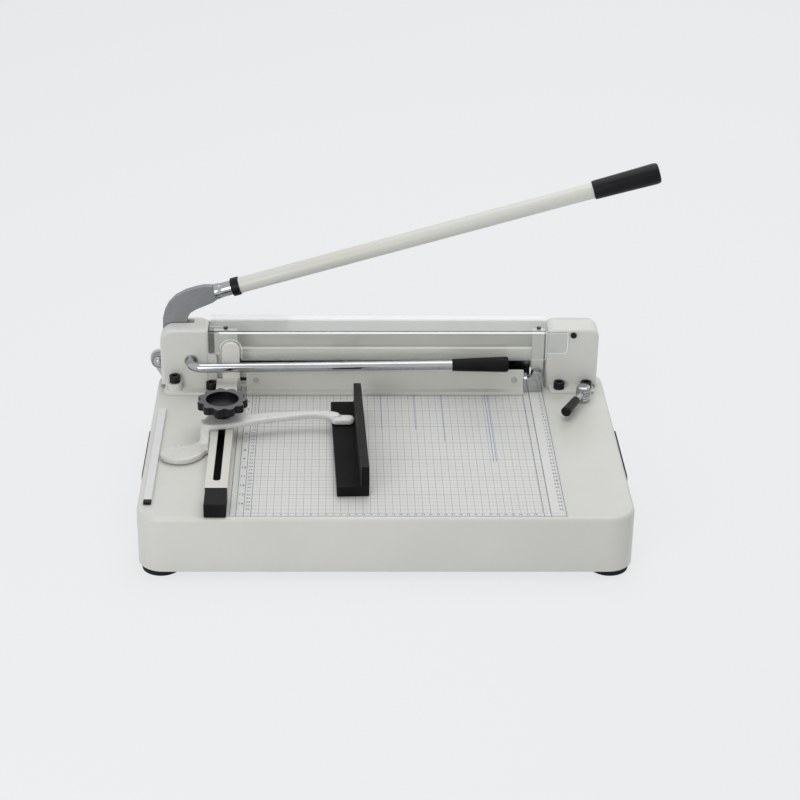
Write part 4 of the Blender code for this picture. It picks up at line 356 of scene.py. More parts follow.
def make_ruled_group():
    """Thin printed lines across one coordinate: 1 on a line, 0 beside it."""
    inputs = [
        ("Along", "NodeSocketFloat", 0.0),
        ("Pitch", "NodeSocketFloat", 0.01),
        ("Width", "NodeSocketFloat", 0.0003),
    ]
    group, start, end = new_group("Ruled lines", inputs, [("Line", "NodeSocketFloat")])
    cells = calc(group, "DIVIDE", start.outputs["Along"], start.outputs["Pitch"])
    part = calc(group, "FRACT", calc(group, "ADD", cells, 0.5))
    distance = calc(group, "ABSOLUTE", calc(group, "SUBTRACT", part, 0.5))
    length = calc(group, "MULTIPLY", distance, start.outputs["Pitch"])
    half = calc(group, "MULTIPLY", start.outputs["Width"], 0.5)
    group.links.new(calc(group, "LESS_THAN", length, half), end.inputs["Line"])
    return group


PAINT = make_paint_group()
METAL = make_metal_group()
MOULDING = make_moulding_group()
RULED = make_ruled_group()


# Materials

def new_material(name):
    material = bpy.data.materials.new(name)
    material.use_nodes = True
    shader = material.node_tree.nodes["Principled BSDF"]
    place = material.node_tree.nodes.new("ShaderNodeTexCoord")
    return material, material.node_tree, shader, place.outputs["Object"]


def place_group(tree, group, **values):
    node = tree.nodes.new("ShaderNodeGroup")
    node.node_tree = group
    for label, value in values.items():
        node.inputs[label.replace("_", " ")].default_value = value
    return node


def finish_surface(tree, shader, surface, strength, distance):
    tree.links.new(surface.outputs["Color"], shader.inputs["Base Color"])
    tree.links.new(surface.outputs["Roughness"], shader.inputs["Roughness"])
    bump = tree.nodes.new("ShaderNodeBump")
    bump.inputs["Strength"].default_value = strength
    bump.inputs["Distance"].default_value = distance
    tree.links.new(surface.outputs["Height"], bump.inputs["Height"])
    tree.links.new(bump.outputs["Normal"], shader.inputs["Normal"])


def paint_material(name, color, dirt, amount, gloss=(0.28, 0.42), coat=0.15):
    material, tree, shader, place = new_material(name)
    low, high = gloss
    surface = place_group(
        tree, PAINT, Paint=color, Dirt=dirt, Dirt_Amount=amount, Gloss_Low=low, Gloss_High=high
    )
    tree.links.new(place, surface.inputs["Vector"])
    finish_surface(tree, shader, surface, 0.12, 0.00006)
    shader.inputs["Coat Weight"].default_value = coat
    shader.inputs["Coat Roughness"].default_value = 0.2
    return material


def metal_material(name, bright, dull, gloss, stretch=(1, 1, 1), strength=0.15):
    material, tree, shader, place = new_material(name)
    surface = place_group(tree, METAL, Bright=bright, Dull=dull, Gloss_Low=gloss[0], Gloss_High=gloss[1])
    mapping = tree.nodes.new("ShaderNodeMapping")
    mapping.inputs["Scale"].default_value = stretch
    tree.links.new(place, mapping.inputs["Vector"])
    tree.links.new(mapping.outputs["Vector"], surface.inputs["Streaks"])
    tree.links.new(place, surface.inputs["Vector"])
    finish_surface(tree, shader, surface, strength, 0.00005)
    shader.inputs["Metallic"].default_value = 1.0
    return material


def moulded_material(name, color, dust, amount, gloss, strength=0.25, shine=0.25):
    material, tree, shader, place = new_material(name)
    low, high = gloss
    surface = place_group(
        tree, MOULDING, Plastic=color, Dust=dust, Dust_Amount=amount, Gloss_Low=low, Gloss_High=high
    )
    tree.links.new(place, surface.inputs["Vector"])
    finish_surface(tree, shader, surface, strength, 0.00008)
    shader.inputs["Specular IOR Level"].default_value = shine
    return material


def clear_material(name, tint, roughness):
    """A clear sheet that light passes on its way to what lies behind it."""
    material, tree, shader, place = new_material(name)
    haze = noise(tree, place, 16.0, 4.0)
    tree.links.new(spread(tree, haze, roughness, roughness + 0.05), shader.inputs["Roughness"])
    shader.inputs["Base Color"].default_value = tint
    shader.inputs["Transmission Weight"].default_value = 1.0
    shader.inputs["IOR"].default_value = 1.45
    through = tree.nodes.new("ShaderNodeBsdfTransparent")
    through.inputs["Color"].default_value = tint
    path = tree.nodes.new("ShaderNodeLightPath")
    unseen = calc(tree, "MAXIMUM", path.outputs["Is Shadow Ray"], path.outputs["Is Diffuse Ray"])
    mix_shaders(tree, unseen, shader.outputs["BSDF"], through.outputs["BSDF"], "Material Output")
    return material


CREAM = paint_material("Cream enamel", (0.635, 0.635, 0.59, 1), (0.50, 0.495, 0.44, 1), 0.22)
PALE_CREAM = paint_material("Pale cream enamel", (0.66, 0.655, 0.60, 1), (0.50, 0.49, 0.43, 1), 0.22)
CAST_CREAM = paint_material(
    "Enamel on a casting", (0.62, 0.62, 0.595, 1), (0.50, 0.49, 0.45, 1), 0.25, (0.22, 0.34), 0.3
)
# The machine's cream painted lighter: painted light on the two covers.
LIT_COVER_CREAM = paint_material("Cover enamel with painted light", (0.70, 0.697, 0.655, 1), (0.55, 0.545, 0.50, 1), 0.22)
# The machine's cream painted lighter: painted light on the knife beam and the rail upright.
LIT_BEAM_CREAM = paint_material("Beam enamel with painted light", (0.80, 0.79, 0.73, 1), (0.66, 0.65, 0.59, 1), 0.22)
# The machine's cream painted darker: painted shade on the clamp screws.
SHADED_SCREW_CREAM = paint_material("Enamel on screws in painted shade", (0.43, 0.43, 0.40, 1), (0.36, 0.36, 0.33, 1), 0.3)
CHROME = metal_material(
    "Bright chrome", (0.47, 0.475, 0.487, 1), (0.40, 0.405, 0.415, 1), (0.07, 0.12), (0.2, 1, 1), 0.02
)
PLATING = metal_material(
    "Zinc plating", (0.50, 0.51, 0.52, 1), (0.36, 0.365, 0.375, 1), (0.16, 0.26), (1, 1, 1), 0.08
)
GROUND_STEEL = metal_material(
    "Ground steel", (0.300, 0.310, 0.322, 1), (0.262, 0.272, 0.284, 1), (0.36, 0.44), (0.5, 1, 1), 0.04
)
# Blade steel painted near black: painted shade for the blade under the guard.
SHADED_BLADE_STEEL = metal_material(
    "Blade steel in painted shade", (0.12, 0.125, 0.135, 1), (0.05, 0.053, 0.06, 1), (0.2, 0.34), (0.03, 1, 1), 0.15
)
PLAIN_STEEL = metal_material(
    "Plain steel", (0.30, 0.31, 0.32, 1), (0.17, 0.17, 0.18, 1), (0.3, 0.5), (0.1, 1, 1), 0.3
)
BLACK_OXIDE = metal_material(
    "Black oxide", (0.04, 0.04, 0.044, 1), (0.018, 0.018, 0.02, 1), (0.3, 0.42), (1, 1, 1), 0.1
)
BLACK_MOULDING = moulded_material(
    "Black moulding", (0.004, 0.004, 0.005, 1), (0.016, 0.016, 0.018, 1), 0.4, (0.30, 0.46), 0.2, 0.18
)
KNOB_MOULDING = moulded_material(
    "Knob moulding", (0.003, 0.003, 0.004, 1), (0.016, 0.016, 0.018, 1), 0.4, (0.26, 0.4), 0.2, 0.25
)
# Lighter moulding for a painted sheen on the knob's flat top.
KNOB_TOP_SHEEN = moulded_material(
    "Moulding with painted sheen", (0.100, 0.100, 0.106, 1), (0.150, 0.150, 0.156, 1), 0.6, (0.4, 0.55), 0.2, 0.25
)
BAKELITE = moulded_material(
    "Block moulding", (0.004, 0.004, 0.004, 1), (0.014, 0.014, 0.015, 1), 0.5, (0.42, 0.58), 0.2, 0.12
)
# Lighter moulding for painted light on the stack block's left-facing upright face.
LIT_SIDE_MOULDING = moulded_material(
    "Moulding with painted light", (0.030, 0.030, 0.031, 1), (0.055, 0.055, 0.057, 1), 0.5, (0.42, 0.58), 0.2, 0.2
)
# Painted shade: a near-black moulding for recesses, gaps and a foot that lie in shade.
PAINTED_SHADE = moulded_material(
    "Painted shade", (0.006, 0.006, 0.006, 1), (0.016, 0.016, 0.016, 1), 0.5, (0.6, 0.8), 0.3, 0.08
)
FOOT_RUBBER = moulded_material(
    "Foot rubber", (0.006, 0.006, 0.007, 1), (0.03, 0.03, 0.03, 1), 0.5, (0.6, 0.85), 0.4, 0.2
)
WHITE_MOULDING = moulded_material(
    "White moulding", (0.70, 0.70, 0.70, 1), (0.54, 0.54, 0.53, 1), 0.3, (0.35, 0.55), 0.2, 0.5
)
NATURAL_MOULDING = moulded_material(
    "Natural moulding", (0.60, 0.59, 0.53, 1), (0.48, 0.47, 0.42, 1), 0.4, (0.45, 0.65), 0.2, 0.3
)
NUMBER_INK = moulded_material(
    "Number ink", (0.03, 0.06, 0.20, 1), (0.08, 0.12, 0.26, 1), 0.5, (0.5, 0.7), 0.05
)
BLACK_INK = moulded_material(
    "Black ink", (0.02, 0.02, 0.025, 1), (0.08, 0.08, 0.09, 1), 0.5, (0.5, 0.7), 0.05
)
CLEAR = clear_material("Clear acrylic", (0.955, 0.965, 0.965, 1), 0.03)
# Painted glow and highlight for the guard's edges, bend and front rim: a pale colour that also emits light.
GLOWING_EDGE = moulded_material(
    "Acrylic edge with painted glow", (0.80, 0.82, 0.83, 1), (0.68, 0.70, 0.72, 1), 0.5, (0.15, 0.3), 0.05, 0.5
)
EDGE_GLOW = 0.22
edge_shader = GLOWING_EDGE.node_tree.nodes["Principled BSDF"]
edge_shader.inputs["Emission Color"].default_value = (0.90, 0.93, 0.94, 1)
edge_shader.inputs["Emission Strength"].default_value = EDGE_GLOW


# Printed sheet

SHEET_LOW, SHEET_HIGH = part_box("grid_sheet")
CENTIMETRE = 0.01
INCH = 0.0254
# Upright lines of the ruler columns, from the sheet's left edge.
RULER_LINES = (0.0005, 0.0088, 0.0187, 0.0287)
FAR_LINES = (0.4200, 0.4296, 0.4500)
GRID_FROM = RULER_LINES[-1]
FRONT_RULE = 0.0075
# Blue lines for paper sizes: place across the sheet, and how far each runs from front to back.
SIZE_LINES = (
    (0.2082, 0.2490, 0.3800), (0.2570, 0.2490, 0.3860), (0.2975, 0.2130, 0.3860),
    (0.3628, 0.1510, 0.3800), (0.3668, 0.1510, 0.3800),
)
# Widths of the printed lines, and how dark each kind is.
FINE_LINE, HALF_LINE, HEAVY_LINE, SIZE_LINE = 0.0006, 0.00025, 0.0011, 0.0011
COLUMN_LINE, FAR_COLUMN_LINE, TICK_LINE, BORDER_LINE = 0.0008, 0.0009, 0.0002, 0.0004
FINE_INK, HALF_INK, HEAVY_INK, TICK_INK, SIZE_INK = 0.68, 0.36, 0.7, 0.6, 0.75
# Lengths of the ruler ticks.
LEFT_TICK, INCH_TICK, RIGHT_TICK, FRONT_TICK = 0.003, 0.0025, 0.004, 0.002
PRINT_LIFT = 0.00005
PRINT_THICK = 0.00004
SIDE_DIGITS, INCH_DIGITS, FRONT_DIGITS = 0.0062, 0.0074, 0.0050
RIGHT_DIGITS_SHIFT = 0.0045
ROWS_OF_CENTIMETRES, ROWS_OF_INCHES, COLUMNS_OF_CENTIMETRES = 36, 14, 38


def sheet_material():
    """Squared print: centimetre squares, heavier lines each five, ruler columns and millimetre ticks."""
    material, tree, shader, place = new_material("Printed sheet")
    split = tree.nodes.new("ShaderNodeSeparateXYZ")
    tree.links.new(place, split.inputs["Vector"])
    across = calc(tree, "SUBTRACT", split.outputs["X"], SHEET_LOW.x)
    along = calc(tree, "SUBTRACT", split.outputs["Y"], SHEET_LOW.y)

    def ruled(coordinate, start, pitch, width):
        node = place_group(tree, RULED, Pitch=pitch, Width=width)
        tree.links.new(calc(tree, "SUBTRACT", coordinate, start), node.inputs["Along"])
        return node.outputs["Line"]

    def times(first, second):
        return calc(tree, "MULTIPLY", first, second)

    def between(coordinate, low, high):
        return times(calc(tree, "GREATER_THAN", coordinate, low), calc(tree, "LESS_THAN", coordinate, high))

    def one_line(coordinate, where, width):
        return between(coordinate, where - width / 2, where + width / 2)

    def strongest(values):
        total = values[0]
        for value in values[1:]:
            total = calc(tree, "MAXIMUM", total, value)
        return total

    inside = times(between(across, GRID_FROM, FAR_LINES[1]), calc(tree, "GREATER_THAN", along, FRONT_RULE))
    fine, half = (
        strongest([ruled(across, GRID_FROM, pitch, width), ruled(along, FRONT_RULE, pitch, width)])
        for pitch, width in ((CENTIMETRE, FINE_LINE), (CENTIMETRE / 2, HALF_LINE))
    )
    heavy = ruled(along, FRONT_RULE, 5 * CENTIMETRE, HEAVY_LINE)
    squares = times(inside, strongest([times(fine, FINE_INK), times(half, HALF_INK), times(heavy, HEAVY_INK)]))
    columns = strongest(
        [one_line(across, where, COLUMN_LINE) for where in RULER_LINES]
        + [one_line(across, where, FAR_COLUMN_LINE) for where in FAR_LINES]
    )
    millimetre = CENTIMETRE / 10
    inner_edge, outer_edge = RULER_LINES[1], FAR_LINES[2]
    side_marks = ruled(along, FRONT_RULE, millimetre, TICK_LINE)
    inch_marks = ruled(along, FRONT_RULE, INCH / 8, TICK_LINE)
    front_marks = ruled(across, GRID_FROM, millimetre, TICK_LINE)
    ticks = strongest([
        times(between(across, inner_edge - LEFT_TICK, inner_edge), side_marks),
        times(between(across, inner_edge, inner_edge + INCH_TICK), inch_marks),
        times(between(across, outer_edge - RIGHT_TICK, outer_edge), side_marks),
        times(between(along, FRONT_RULE - FRONT_TICK, FRONT_RULE), front_marks),
        one_line(along, FRONT_RULE, BORDER_LINE),
        one_line(along, 2 * BORDER_LINE, BORDER_LINE),
    ])
    print_mask = strongest([squares, columns, times(ticks, TICK_INK)])
    cloud = noise(tree, place, 9.0, 4.0)
    film = blend_colors(tree, spread(tree, cloud, 0.0, 1.0), (0.64, 0.645, 0.615, 1), (0.68, 0.685, 0.66, 1))
    wear = spread(tree, noise(tree, place, 80.0), 0.0, 1.0)
    ink = blend_colors(tree, wear, (0.085, 0.09, 0.105, 1), (0.17, 0.18, 0.20, 1))
    sizes = strongest([
        times(one_line(across, where, SIZE_LINE), between(along, near, far)) for where, near, far in SIZE_LINES
    ])
    printed = blend_colors(tree, print_mask, film, ink)
    with_sizes = blend_colors(tree, times(sizes, SIZE_INK), printed, (0.14, 0.16, 0.42, 1))
    tree.links.new(with_sizes, shader.inputs["Base Color"])
    tree.links.new(spread(tree, noise(tree, place, 40.0), 0.3, 0.45), shader.inputs["Roughness"])
    bump = tree.nodes.new("ShaderNodeBump")
    bump.inputs["Strength"].default_value = 0.08
    bump.inputs["Distance"].default_value = 0.00005
    tree.links.new(noise(tree, place, 300.0, 2.0), bump.inputs["Height"])
    tree.links.new(bump.outputs["Normal"], shader.inputs["Normal"])
    return material


SHEET = sheet_material()


def number_row(name, values, start, step, size, ink):
    """A row of small printed numbers, joined as one thin piece on the sheet."""
    labels = []
    for index, value in enumerate(values):
        clear_selection()
        where = Vector(start) + Vector(step) * index
        bpy.ops.object.text_add(location=where, rotation=(0, 0, 0))
        label = bpy.context.object
        label.data.body = str(value)
        label.data.size = size
        label.data.align_x = "CENTER"
        label.data.align_y = "CENTER"
        label.data.extrude = PRINT_THICK
        label.data.resolution_u = 2
        bpy.ops.object.convert(target="MESH")
        labels.append(bpy.context.object)
    clear_selection()
    for label in labels:
        label.select_set(True)
    bpy.context.view_layer.objects.active = labels[0]
    bpy.ops.object.join()
    piece = bpy.context.object
    piece.name = name
    settle(piece)
    piece.data.materials.clear()
    piece.data.materials.append(ink)
    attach(piece, "base")
    return piece


def print_numbers():
    top = SHEET_HIGH.z + PRINT_LIFT
    left, front = SHEET_LOW.x, SHEET_LOW.y
    rows = range(ROWS_OF_CENTIMETRES, 0, -1)
    inner = (RULER_LINES[2] + RULER_LINES[3]) / 2
    place = (left + inner, front + FRONT_RULE + CENTIMETRE, top)
    number_row("left_centimetre_numbers", rows, place, (0, CENTIMETRE, 0), SIDE_DIGITS, NUMBER_INK)
    outer = (RULER_LINES[1] + RULER_LINES[2]) / 2
    place = (left + outer, front + FRONT_RULE + INCH, top)
    number_row("left_inch_numbers", range(ROWS_OF_INCHES, 0, -1), place, (0, INCH, 0), INCH_DIGITS, BLACK_INK)
    far = (FAR_LINES[1] + FAR_LINES[2]) / 2
    place = (left + far + RIGHT_DIGITS_SHIFT, front + FRONT_RULE + CENTIMETRE, top)
    number_row("right_centimetre_numbers", rows, place, (0, CENTIMETRE, 0), SIDE_DIGITS, NUMBER_INK)
    place = (left + GRID_FROM + CENTIMETRE, front + FRONT_RULE / 2, top)
    columns = range(1, COLUMNS_OF_CENTIMETRES + 1)
    number_row("front_centimetre_numbers", columns, place, (CENTIMETRE, 0, 0), FRONT_DIGITS, NUMBER_INK)


# Pieces made anew

BOX_CORNER = 0.036
BOX_TOP_EDGE = 0.006
BOX_WALL = 0.002
BELOW_SHEET = 0.0003
STICK_GAP = Vector((0.0003, 0.0003, 0.004))
GRIP_FRAME = 0.0038


def make_table_box():
    """The pressed box, with round corners, a rolled top edge, grip holes and the stick's slot."""
    low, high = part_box("base_shell")
    high = Vector((high.x, high.y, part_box("grid_sheet")[0].z - BELOW_SHEET))
    low.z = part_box("bottom_plate")[0].z
    piece = block("table_box", low, high)
    pick_edges(piece, lambda start, end: abs(start.z - end.z) > 0.01)
    bpy.ops.mesh.bevel(offset=BOX_CORNER, segments=14, affect="EDGES")
    leave_edit()
    rim = high.z - 0.0001
    pick_edges(piece, lambda start, end: start.z > rim and end.z > rim)
    bpy.ops.mesh.bevel(offset=BOX_TOP_EDGE, segments=6, affect="EDGES")
    leave_edit()
    pick_faces(piece, lambda center, normal: normal.z < -0.9)
    bpy.ops.mesh.delete(type="FACE")
    leave_edit()
    wall = piece.modifiers.new("sheet wall", "SOLIDIFY")
    wall.thickness = BOX_WALL
    wall.offset = -1
    apply_all(piece)
    stick_low, stick_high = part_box("cutting_stick")
    carve(piece, block("stick slot", stick_low - STICK_GAP, stick_high + STICK_GAP))
    for side in ("left", "right"):
        grip_low, grip_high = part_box(f"carry_grip_{side}")
        inward = Vector((0, GRIP_FRAME, GRIP_FRAME))
        carve(piece, block("grip hole", grip_low + inward, grip_high - inward))
    smooth_shade(piece, 30)
    piece.data.materials.append(CREAM)
    stands_for(piece, "base_shell")


# Profiles of turned pieces: radius and height of each ring.
COLLAR_RINGS = (
    (0.0119, 0), (0.0130, 0), (0.0138, 0.0010), (0.0138, 0.0110), (0.0130, 0.0120), (0.0119, 0.0120),
)
LEVER_GRIP_RINGS = (
    (0.0121, 0), (0.0129, 0), (0.0138, 0.0009), (0.0140, 0.008), (0.0146, 0.045), (0.0153, 0.080),
    (0.0155, 0.090), (0.0151, 0.0945), (0.0138, 0.0970), (0.0110, 0.0980), (0.0040, 0.0980),
)
SOCKET_RINGS = (
    (0.0113, 0), (0.0122, 0.0006), (0.0121, 0.0040), (0.0113, 0.0095), (0.0110, 0.0120), (0.0110, 0.0255),
    (0.0105, 0.0260), (0.0094, 0.0262), (0.0094, 0.0705), (0.0088, 0.0710),
)
CLAMP_GRIP_RINGS = (
    (0.0073, 0), (0.0082, 0), (0.0089, 0.0008), (0.0094, 0.012), (0.0104, 0.046), (0.0113, 0.072),
    (0.0115, 0.0775), (0.0110, 0.0812), (0.0095, 0.0828), (0.0070, 0.0830), (0.0030, 0.0830),
)
FOOT_RINGS = (
    (0.0060, 0.0003), (0.0140, 0.0003), (0.0150, 0), (0.0258, 0), (0.0269, 0.0008), (0.0272, 0.0030),
    (0.0267, 0.0038), (0.0277, 0.0048), (0.0280, 0.0062), (0.0280, 0.0098), (0.0272, 0.0107),
    (0.0060, 0.0107), (0.0060, 0.0170), (0.0040, 0.0170),
)
LOCK_HUB_RINGS = (
    (0.0080, 0.0), (0.0098, 0.0), (0.0104, 0.0006), (0.0104, 0.0040), (0.0092, 0.0048), (0.0092, 0.0062),
    (0.0101, 0.0070), (0.0101, 0.0115), (0.0101, 0.0160), (0.0101, 0.0205), (0.0096, 0.0228),
    (0.0080, 0.0239), (0.0040, 0.0240),
)
LOCK_ARM_RINGS = ((0.0046, 0.0), (0.0046, 0.0225), (0.0042, 0.0235), (0.0042, 0.045))
LOCK_GRIP_RINGS = (
    (0.0044, 0.0), (0.0056, 0.0), (0.0060, 0.0006), (0.0062, 0.012), (0.0068, 0.030), (0.0073, 0.0400),
    (0.0073, 0.0430), (0.0067, 0.0439), (0.0052, 0.0440), (0.0048, 0.0436), (0.0020, 0.0436),
)
ROLLER_RINGS = (
    (0.0064, 0.0), (0.0066, 0.0004), (0.0066, 0.0022), (0.0060, 0.0028), (0.0030, 0.0028),
    (0.0026, 0.0022), (0.0010, 0.0022),
)

TUBE_SLOPE = math.radians(16.2)
TUBE_RADIUS = 0.0118
GRIP_OVER_TUBE = 0.078
SOCKET_BEFORE_TUBE = 0.0263


def lever_axis():
    """Start, end and direction of the tube's axis, from the tube's box."""
    low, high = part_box("lever_tube")
    along = Vector((math.cos(TUBE_SLOPE), 0, math.sin(TUBE_SLOPE)))
    start = Vector((low.x + TUBE_RADIUS * along.z, (low.y + high.y) / 2, low.z + TUBE_RADIUS * along.x))
    end = Vector((high.x - TUBE_RADIUS * along.z, start.y, high.z - TUBE_RADIUS * along.x))
    return start, end, along


def turned_piece(name, node, rings, place, axis, material, sides=64):
    """A turned piece with its finish, in the place of a solid."""
    piece = lathe(name, rings, place, axis, sides)
    piece.data.materials.append(material)
    return stands_for(piece, node)


def make_lever_pieces():
    start, end, along = lever_axis()
    length = (end - start).length
    tube_rings = (
        (0.0095, 0), (0.0112, 0), (TUBE_RADIUS, 0.0006), (TUBE_RADIUS, length - 0.0006), (0.0112, length),
    )
    turned_piece("lever_long_tube", "lever_tube", tube_rings, start, along, PALE_CREAM)
    turned_piece("lever_tube_collar", "lever_collar", COLLAR_RINGS, start, along, BLACK_MOULDING)
    grip_start = end - along * GRIP_OVER_TUBE
    turned_piece("lever_hand_grip", "lever_grip", LEVER_GRIP_RINGS, grip_start, along, BLACK_MOULDING, 72)
    socket_start = start - along * SOCKET_BEFORE_TUBE
    turned_piece("lever_tube_socket", "lever_socket", SOCKET_RINGS, socket_start, along, CHROME)


ROD_RADIUS = 0.007
ROD_RISE = math.radians(0.75)
ROD_BEND = 0.018
BEND_STEPS = 18


def make_clamp_rod():
    """A chromed rod, bent forwards out of the cover and along the front, and its grip."""
    low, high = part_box("clamp_lever_rod")
    shaft_x = low.x + ROD_RADIUS
    shaft_z = low.z + ROD_RADIUS
    front_y = low.y + ROD_RADIUS
    points = [Vector((shaft_x, high.y, shaft_z))]
    for step in range(BEND_STEPS + 1):
        angle = math.radians(90) * step / BEND_STEPS
        across, back = 1 - math.cos(angle), 1 - math.sin(angle)
        points.append(Vector((shaft_x + ROD_BEND * across, front_y + ROD_BEND * back, shaft_z)))
    along = Vector((math.cos(ROD_RISE), 0, math.sin(ROD_RISE)))
    reach = (high.x - points[-1].x) / along.x
    points.append(points[-1] + along * (reach - 0.001))
    clear_selection()
    curve = bpy.data.curves.new("clamp_rod", "CURVE")
    curve.dimensions = "3D"
    curve.bevel_depth = ROD_RADIUS
    curve.bevel_resolution = 10
    curve.use_fill_caps = True
    spline = curve.splines.new("POLY")
    spline.points.add(len(points) - 1)
    for point, place in zip(spline.points, points):
        point.co = (*place, 1)
    rod = bpy.data.objects.new("clamp_rod", curve)
    bpy.context.scene.collection.objects.link(rod)
    work_on(rod)
    bpy.ops.object.convert(target="MESH")
    rod = bpy.context.object
    edit_all(rod)
    bpy.ops.mesh.remove_doubles(threshold=0.00001)
    bpy.ops.mesh.normals_make_consistent(inside=False)
    leave_edit()
    smooth_shade(rod)
    rod.data.materials.append(CHROME)
    stands_for(rod, "clamp_lever_rod")
    grip_low, grip_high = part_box("clamp_lever_grip")
    bend_end = points[-2]
    grip_start = bend_end + along * ((grip_low.x - bend_end.x) / along.x)
    grip_start.y = (grip_low.y + grip_high.y) / 2
    turned_piece("clamp_hand_grip", "clamp_lever_grip", CLAMP_GRIP_RINGS, grip_start, along, BAKELITE)


def make_feet():
    for where in ("front_left", "front_right", "rear_left", "rear_right"):
        node = f"foot_{where}"
        low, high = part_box(node)
        middle = Vector(((low.x + high.x) / 2, (low.y + high.y) / 2, 0))
        turned_piece(f"rubber_{node}", node, FOOT_RINGS, middle, (0, 0, 1), FOOT_RUBBER)


def soften(piece, voxel, passes):
    """A soft cast surface: an even remesh, then relaxed."""
    remesh = piece.modifiers.new("even skin", "REMESH")
    remesh.mode = "VOXEL"
    remesh.voxel_size = voxel
    relax = piece.modifiers.new("soft cast", "SMOOTH")
    relax.factor = 0.5
    relax.iterations = passes
    apply_all(piece)
    work_on(piece)
    bpy.ops.object.shade_smooth()
    return piece


def make_gauge_arm():
    piece = finished_copy("gauge_cast_arm", "gauge_arm", 0.0004, 1)
    soften(piece, voxel=0.0010, passes=26)
    piece.data.materials.append(CAST_CREAM)


def make_knob():
    piece = finished_copy("gauge_hand_knob", "gauge_knob", 0.0004, 2)
    piece.data.materials.append(KNOB_MOULDING)
    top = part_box("gauge_knob")[1].z
    # Painted sheen on the knob's flat top.
    paint_faces(piece, KNOB_TOP_SHEEN, lambda center, normal: normal.z > 0.9 and center.z > top - 0.001)


def make_stack_block():
    """The stack block: painted shade on the top faces of its foot, and painted light on its left-facing
    upright face.
    """
    piece = finished_copy("gauge_stack_block", "gauge_block", 0.0008, 2)
    piece.data.materials.append(BAKELITE)
    low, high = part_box("gauge_block")
    middle = (low + high) / 2
    # Painted shade on the top faces of the foot.
    paint_faces(piece, PAINTED_SHADE, lambda center, normal: normal.z > 0.7 and center.z < middle.z)
    # Painted light on the left-facing upright face.
    paint_faces(piece, LIT_SIDE_MOULDING, lambda center, normal: normal.x < -0.7 and center.x > middle.x)


# Solids that keep their shape: how far the edges are rounded, and the finish.
FINISHED = {
    # The covers carry cream with painted light.
    "left_cover": (0.0006, LIT_COVER_CREAM), "right_cover": (0.0006, LIT_COVER_CREAM),
    "left_frame_plate": (0.0008, CREAM), "right_frame_plate": (0.0008, CREAM),
    # rail_upright carries cream with painted light.
    "clamp_bar": (0.0007, CREAM), "rail_upright": (0.0009, LIT_BEAM_CREAM),
    "guide_post_left": (0.0006, PALE_CREAM), "guide_post_right": (0.0006, PALE_CREAM),
    # knife_beam carries cream with painted light.
    "knife_beam": (0.0008, LIT_BEAM_CREAM), "lever_arm": (0.0013, GROUND_STEEL),
    "side_link": (0.0008, GROUND_STEEL), "cross_beam": (0.0007, CREAM),
    "rail_cap": (0.0018, BAKELITE), "side_strip": (0.0005, WHITE_MOULDING),
    "side_strip_plug": (0.0005, BLACK_MOULDING),
    "carry_grip_left": (0.0008, BLACK_MOULDING), "carry_grip_right": (0.0008, BLACK_MOULDING),
    "clamp_shoe_right": (0.0008, CHROME), "lift_bracket": (0.0004, CREAM),
    # knife_blade carries steel painted dark as painted shade.
    "clamp_crank": (0.0005, PLAIN_STEEL), "knife_blade": (0.0002, SHADED_BLADE_STEEL),
    "clamp_shaft_bush": (0.0004, GROUND_STEEL), "cutting_stick": (0.0004, NATURAL_MOULDING),
    "left_cover_boss_bolt": (0.0008, BLACK_OXIDE), "left_cover_bolt": (0.0008, BLACK_OXIDE),
    "right_cover_bolt_inner": (0.0008, BLACK_OXIDE), "right_cover_bolt_outer": (0.0008, BLACK_OXIDE),
    "right_cover_screw": (0.0006, BLACK_OXIDE),
    "guard_screw_left": (0.0004, BLACK_OXIDE), "guard_screw_right": (0.0004, BLACK_OXIDE),
    # The clamp screws carry cream with painted shade.
    "clamp_screw_left": (0.0005, SHADED_SCREW_CREAM), "clamp_screw_right": (0.0005, SHADED_SCREW_CREAM),
    "fulcrum_pin": (0.0006, PLATING), "link_pin": (0.0006, PLATING),
    "crank_pin": (0.0006, PLATING), "beam_pin": (0.0006, PLATING),
    "knife_bolt_left": (0.0005, BLACK_OXIDE), "knife_bolt_middle": (0.0005, BLACK_OXIDE),
    "knife_bolt_right": (0.0005, BLACK_OXIDE), "gauge_nut": (0.0005, PLATING),
    "bottom_plate": (0.0003, PLAIN_STEEL), "grid_sheet": (0.00015, SHEET),
}


def paint_faces(piece, material, test):
    """Gives a second material to the faces whose centre and normal pass the test."""
    piece.data.materials.append(material)
    last = len(piece.data.materials) - 1
    for face in piece.data.polygons:
        if test(face.center, face.normal):
            face.material_index = last


GUARD_BEND = 0.0045
# Width of the painted highlight rim inset on the guard's front faces.
GUARD_HIGHLIGHT_RIM = 0.0009
GUARD_CLEAR_END = 0.016


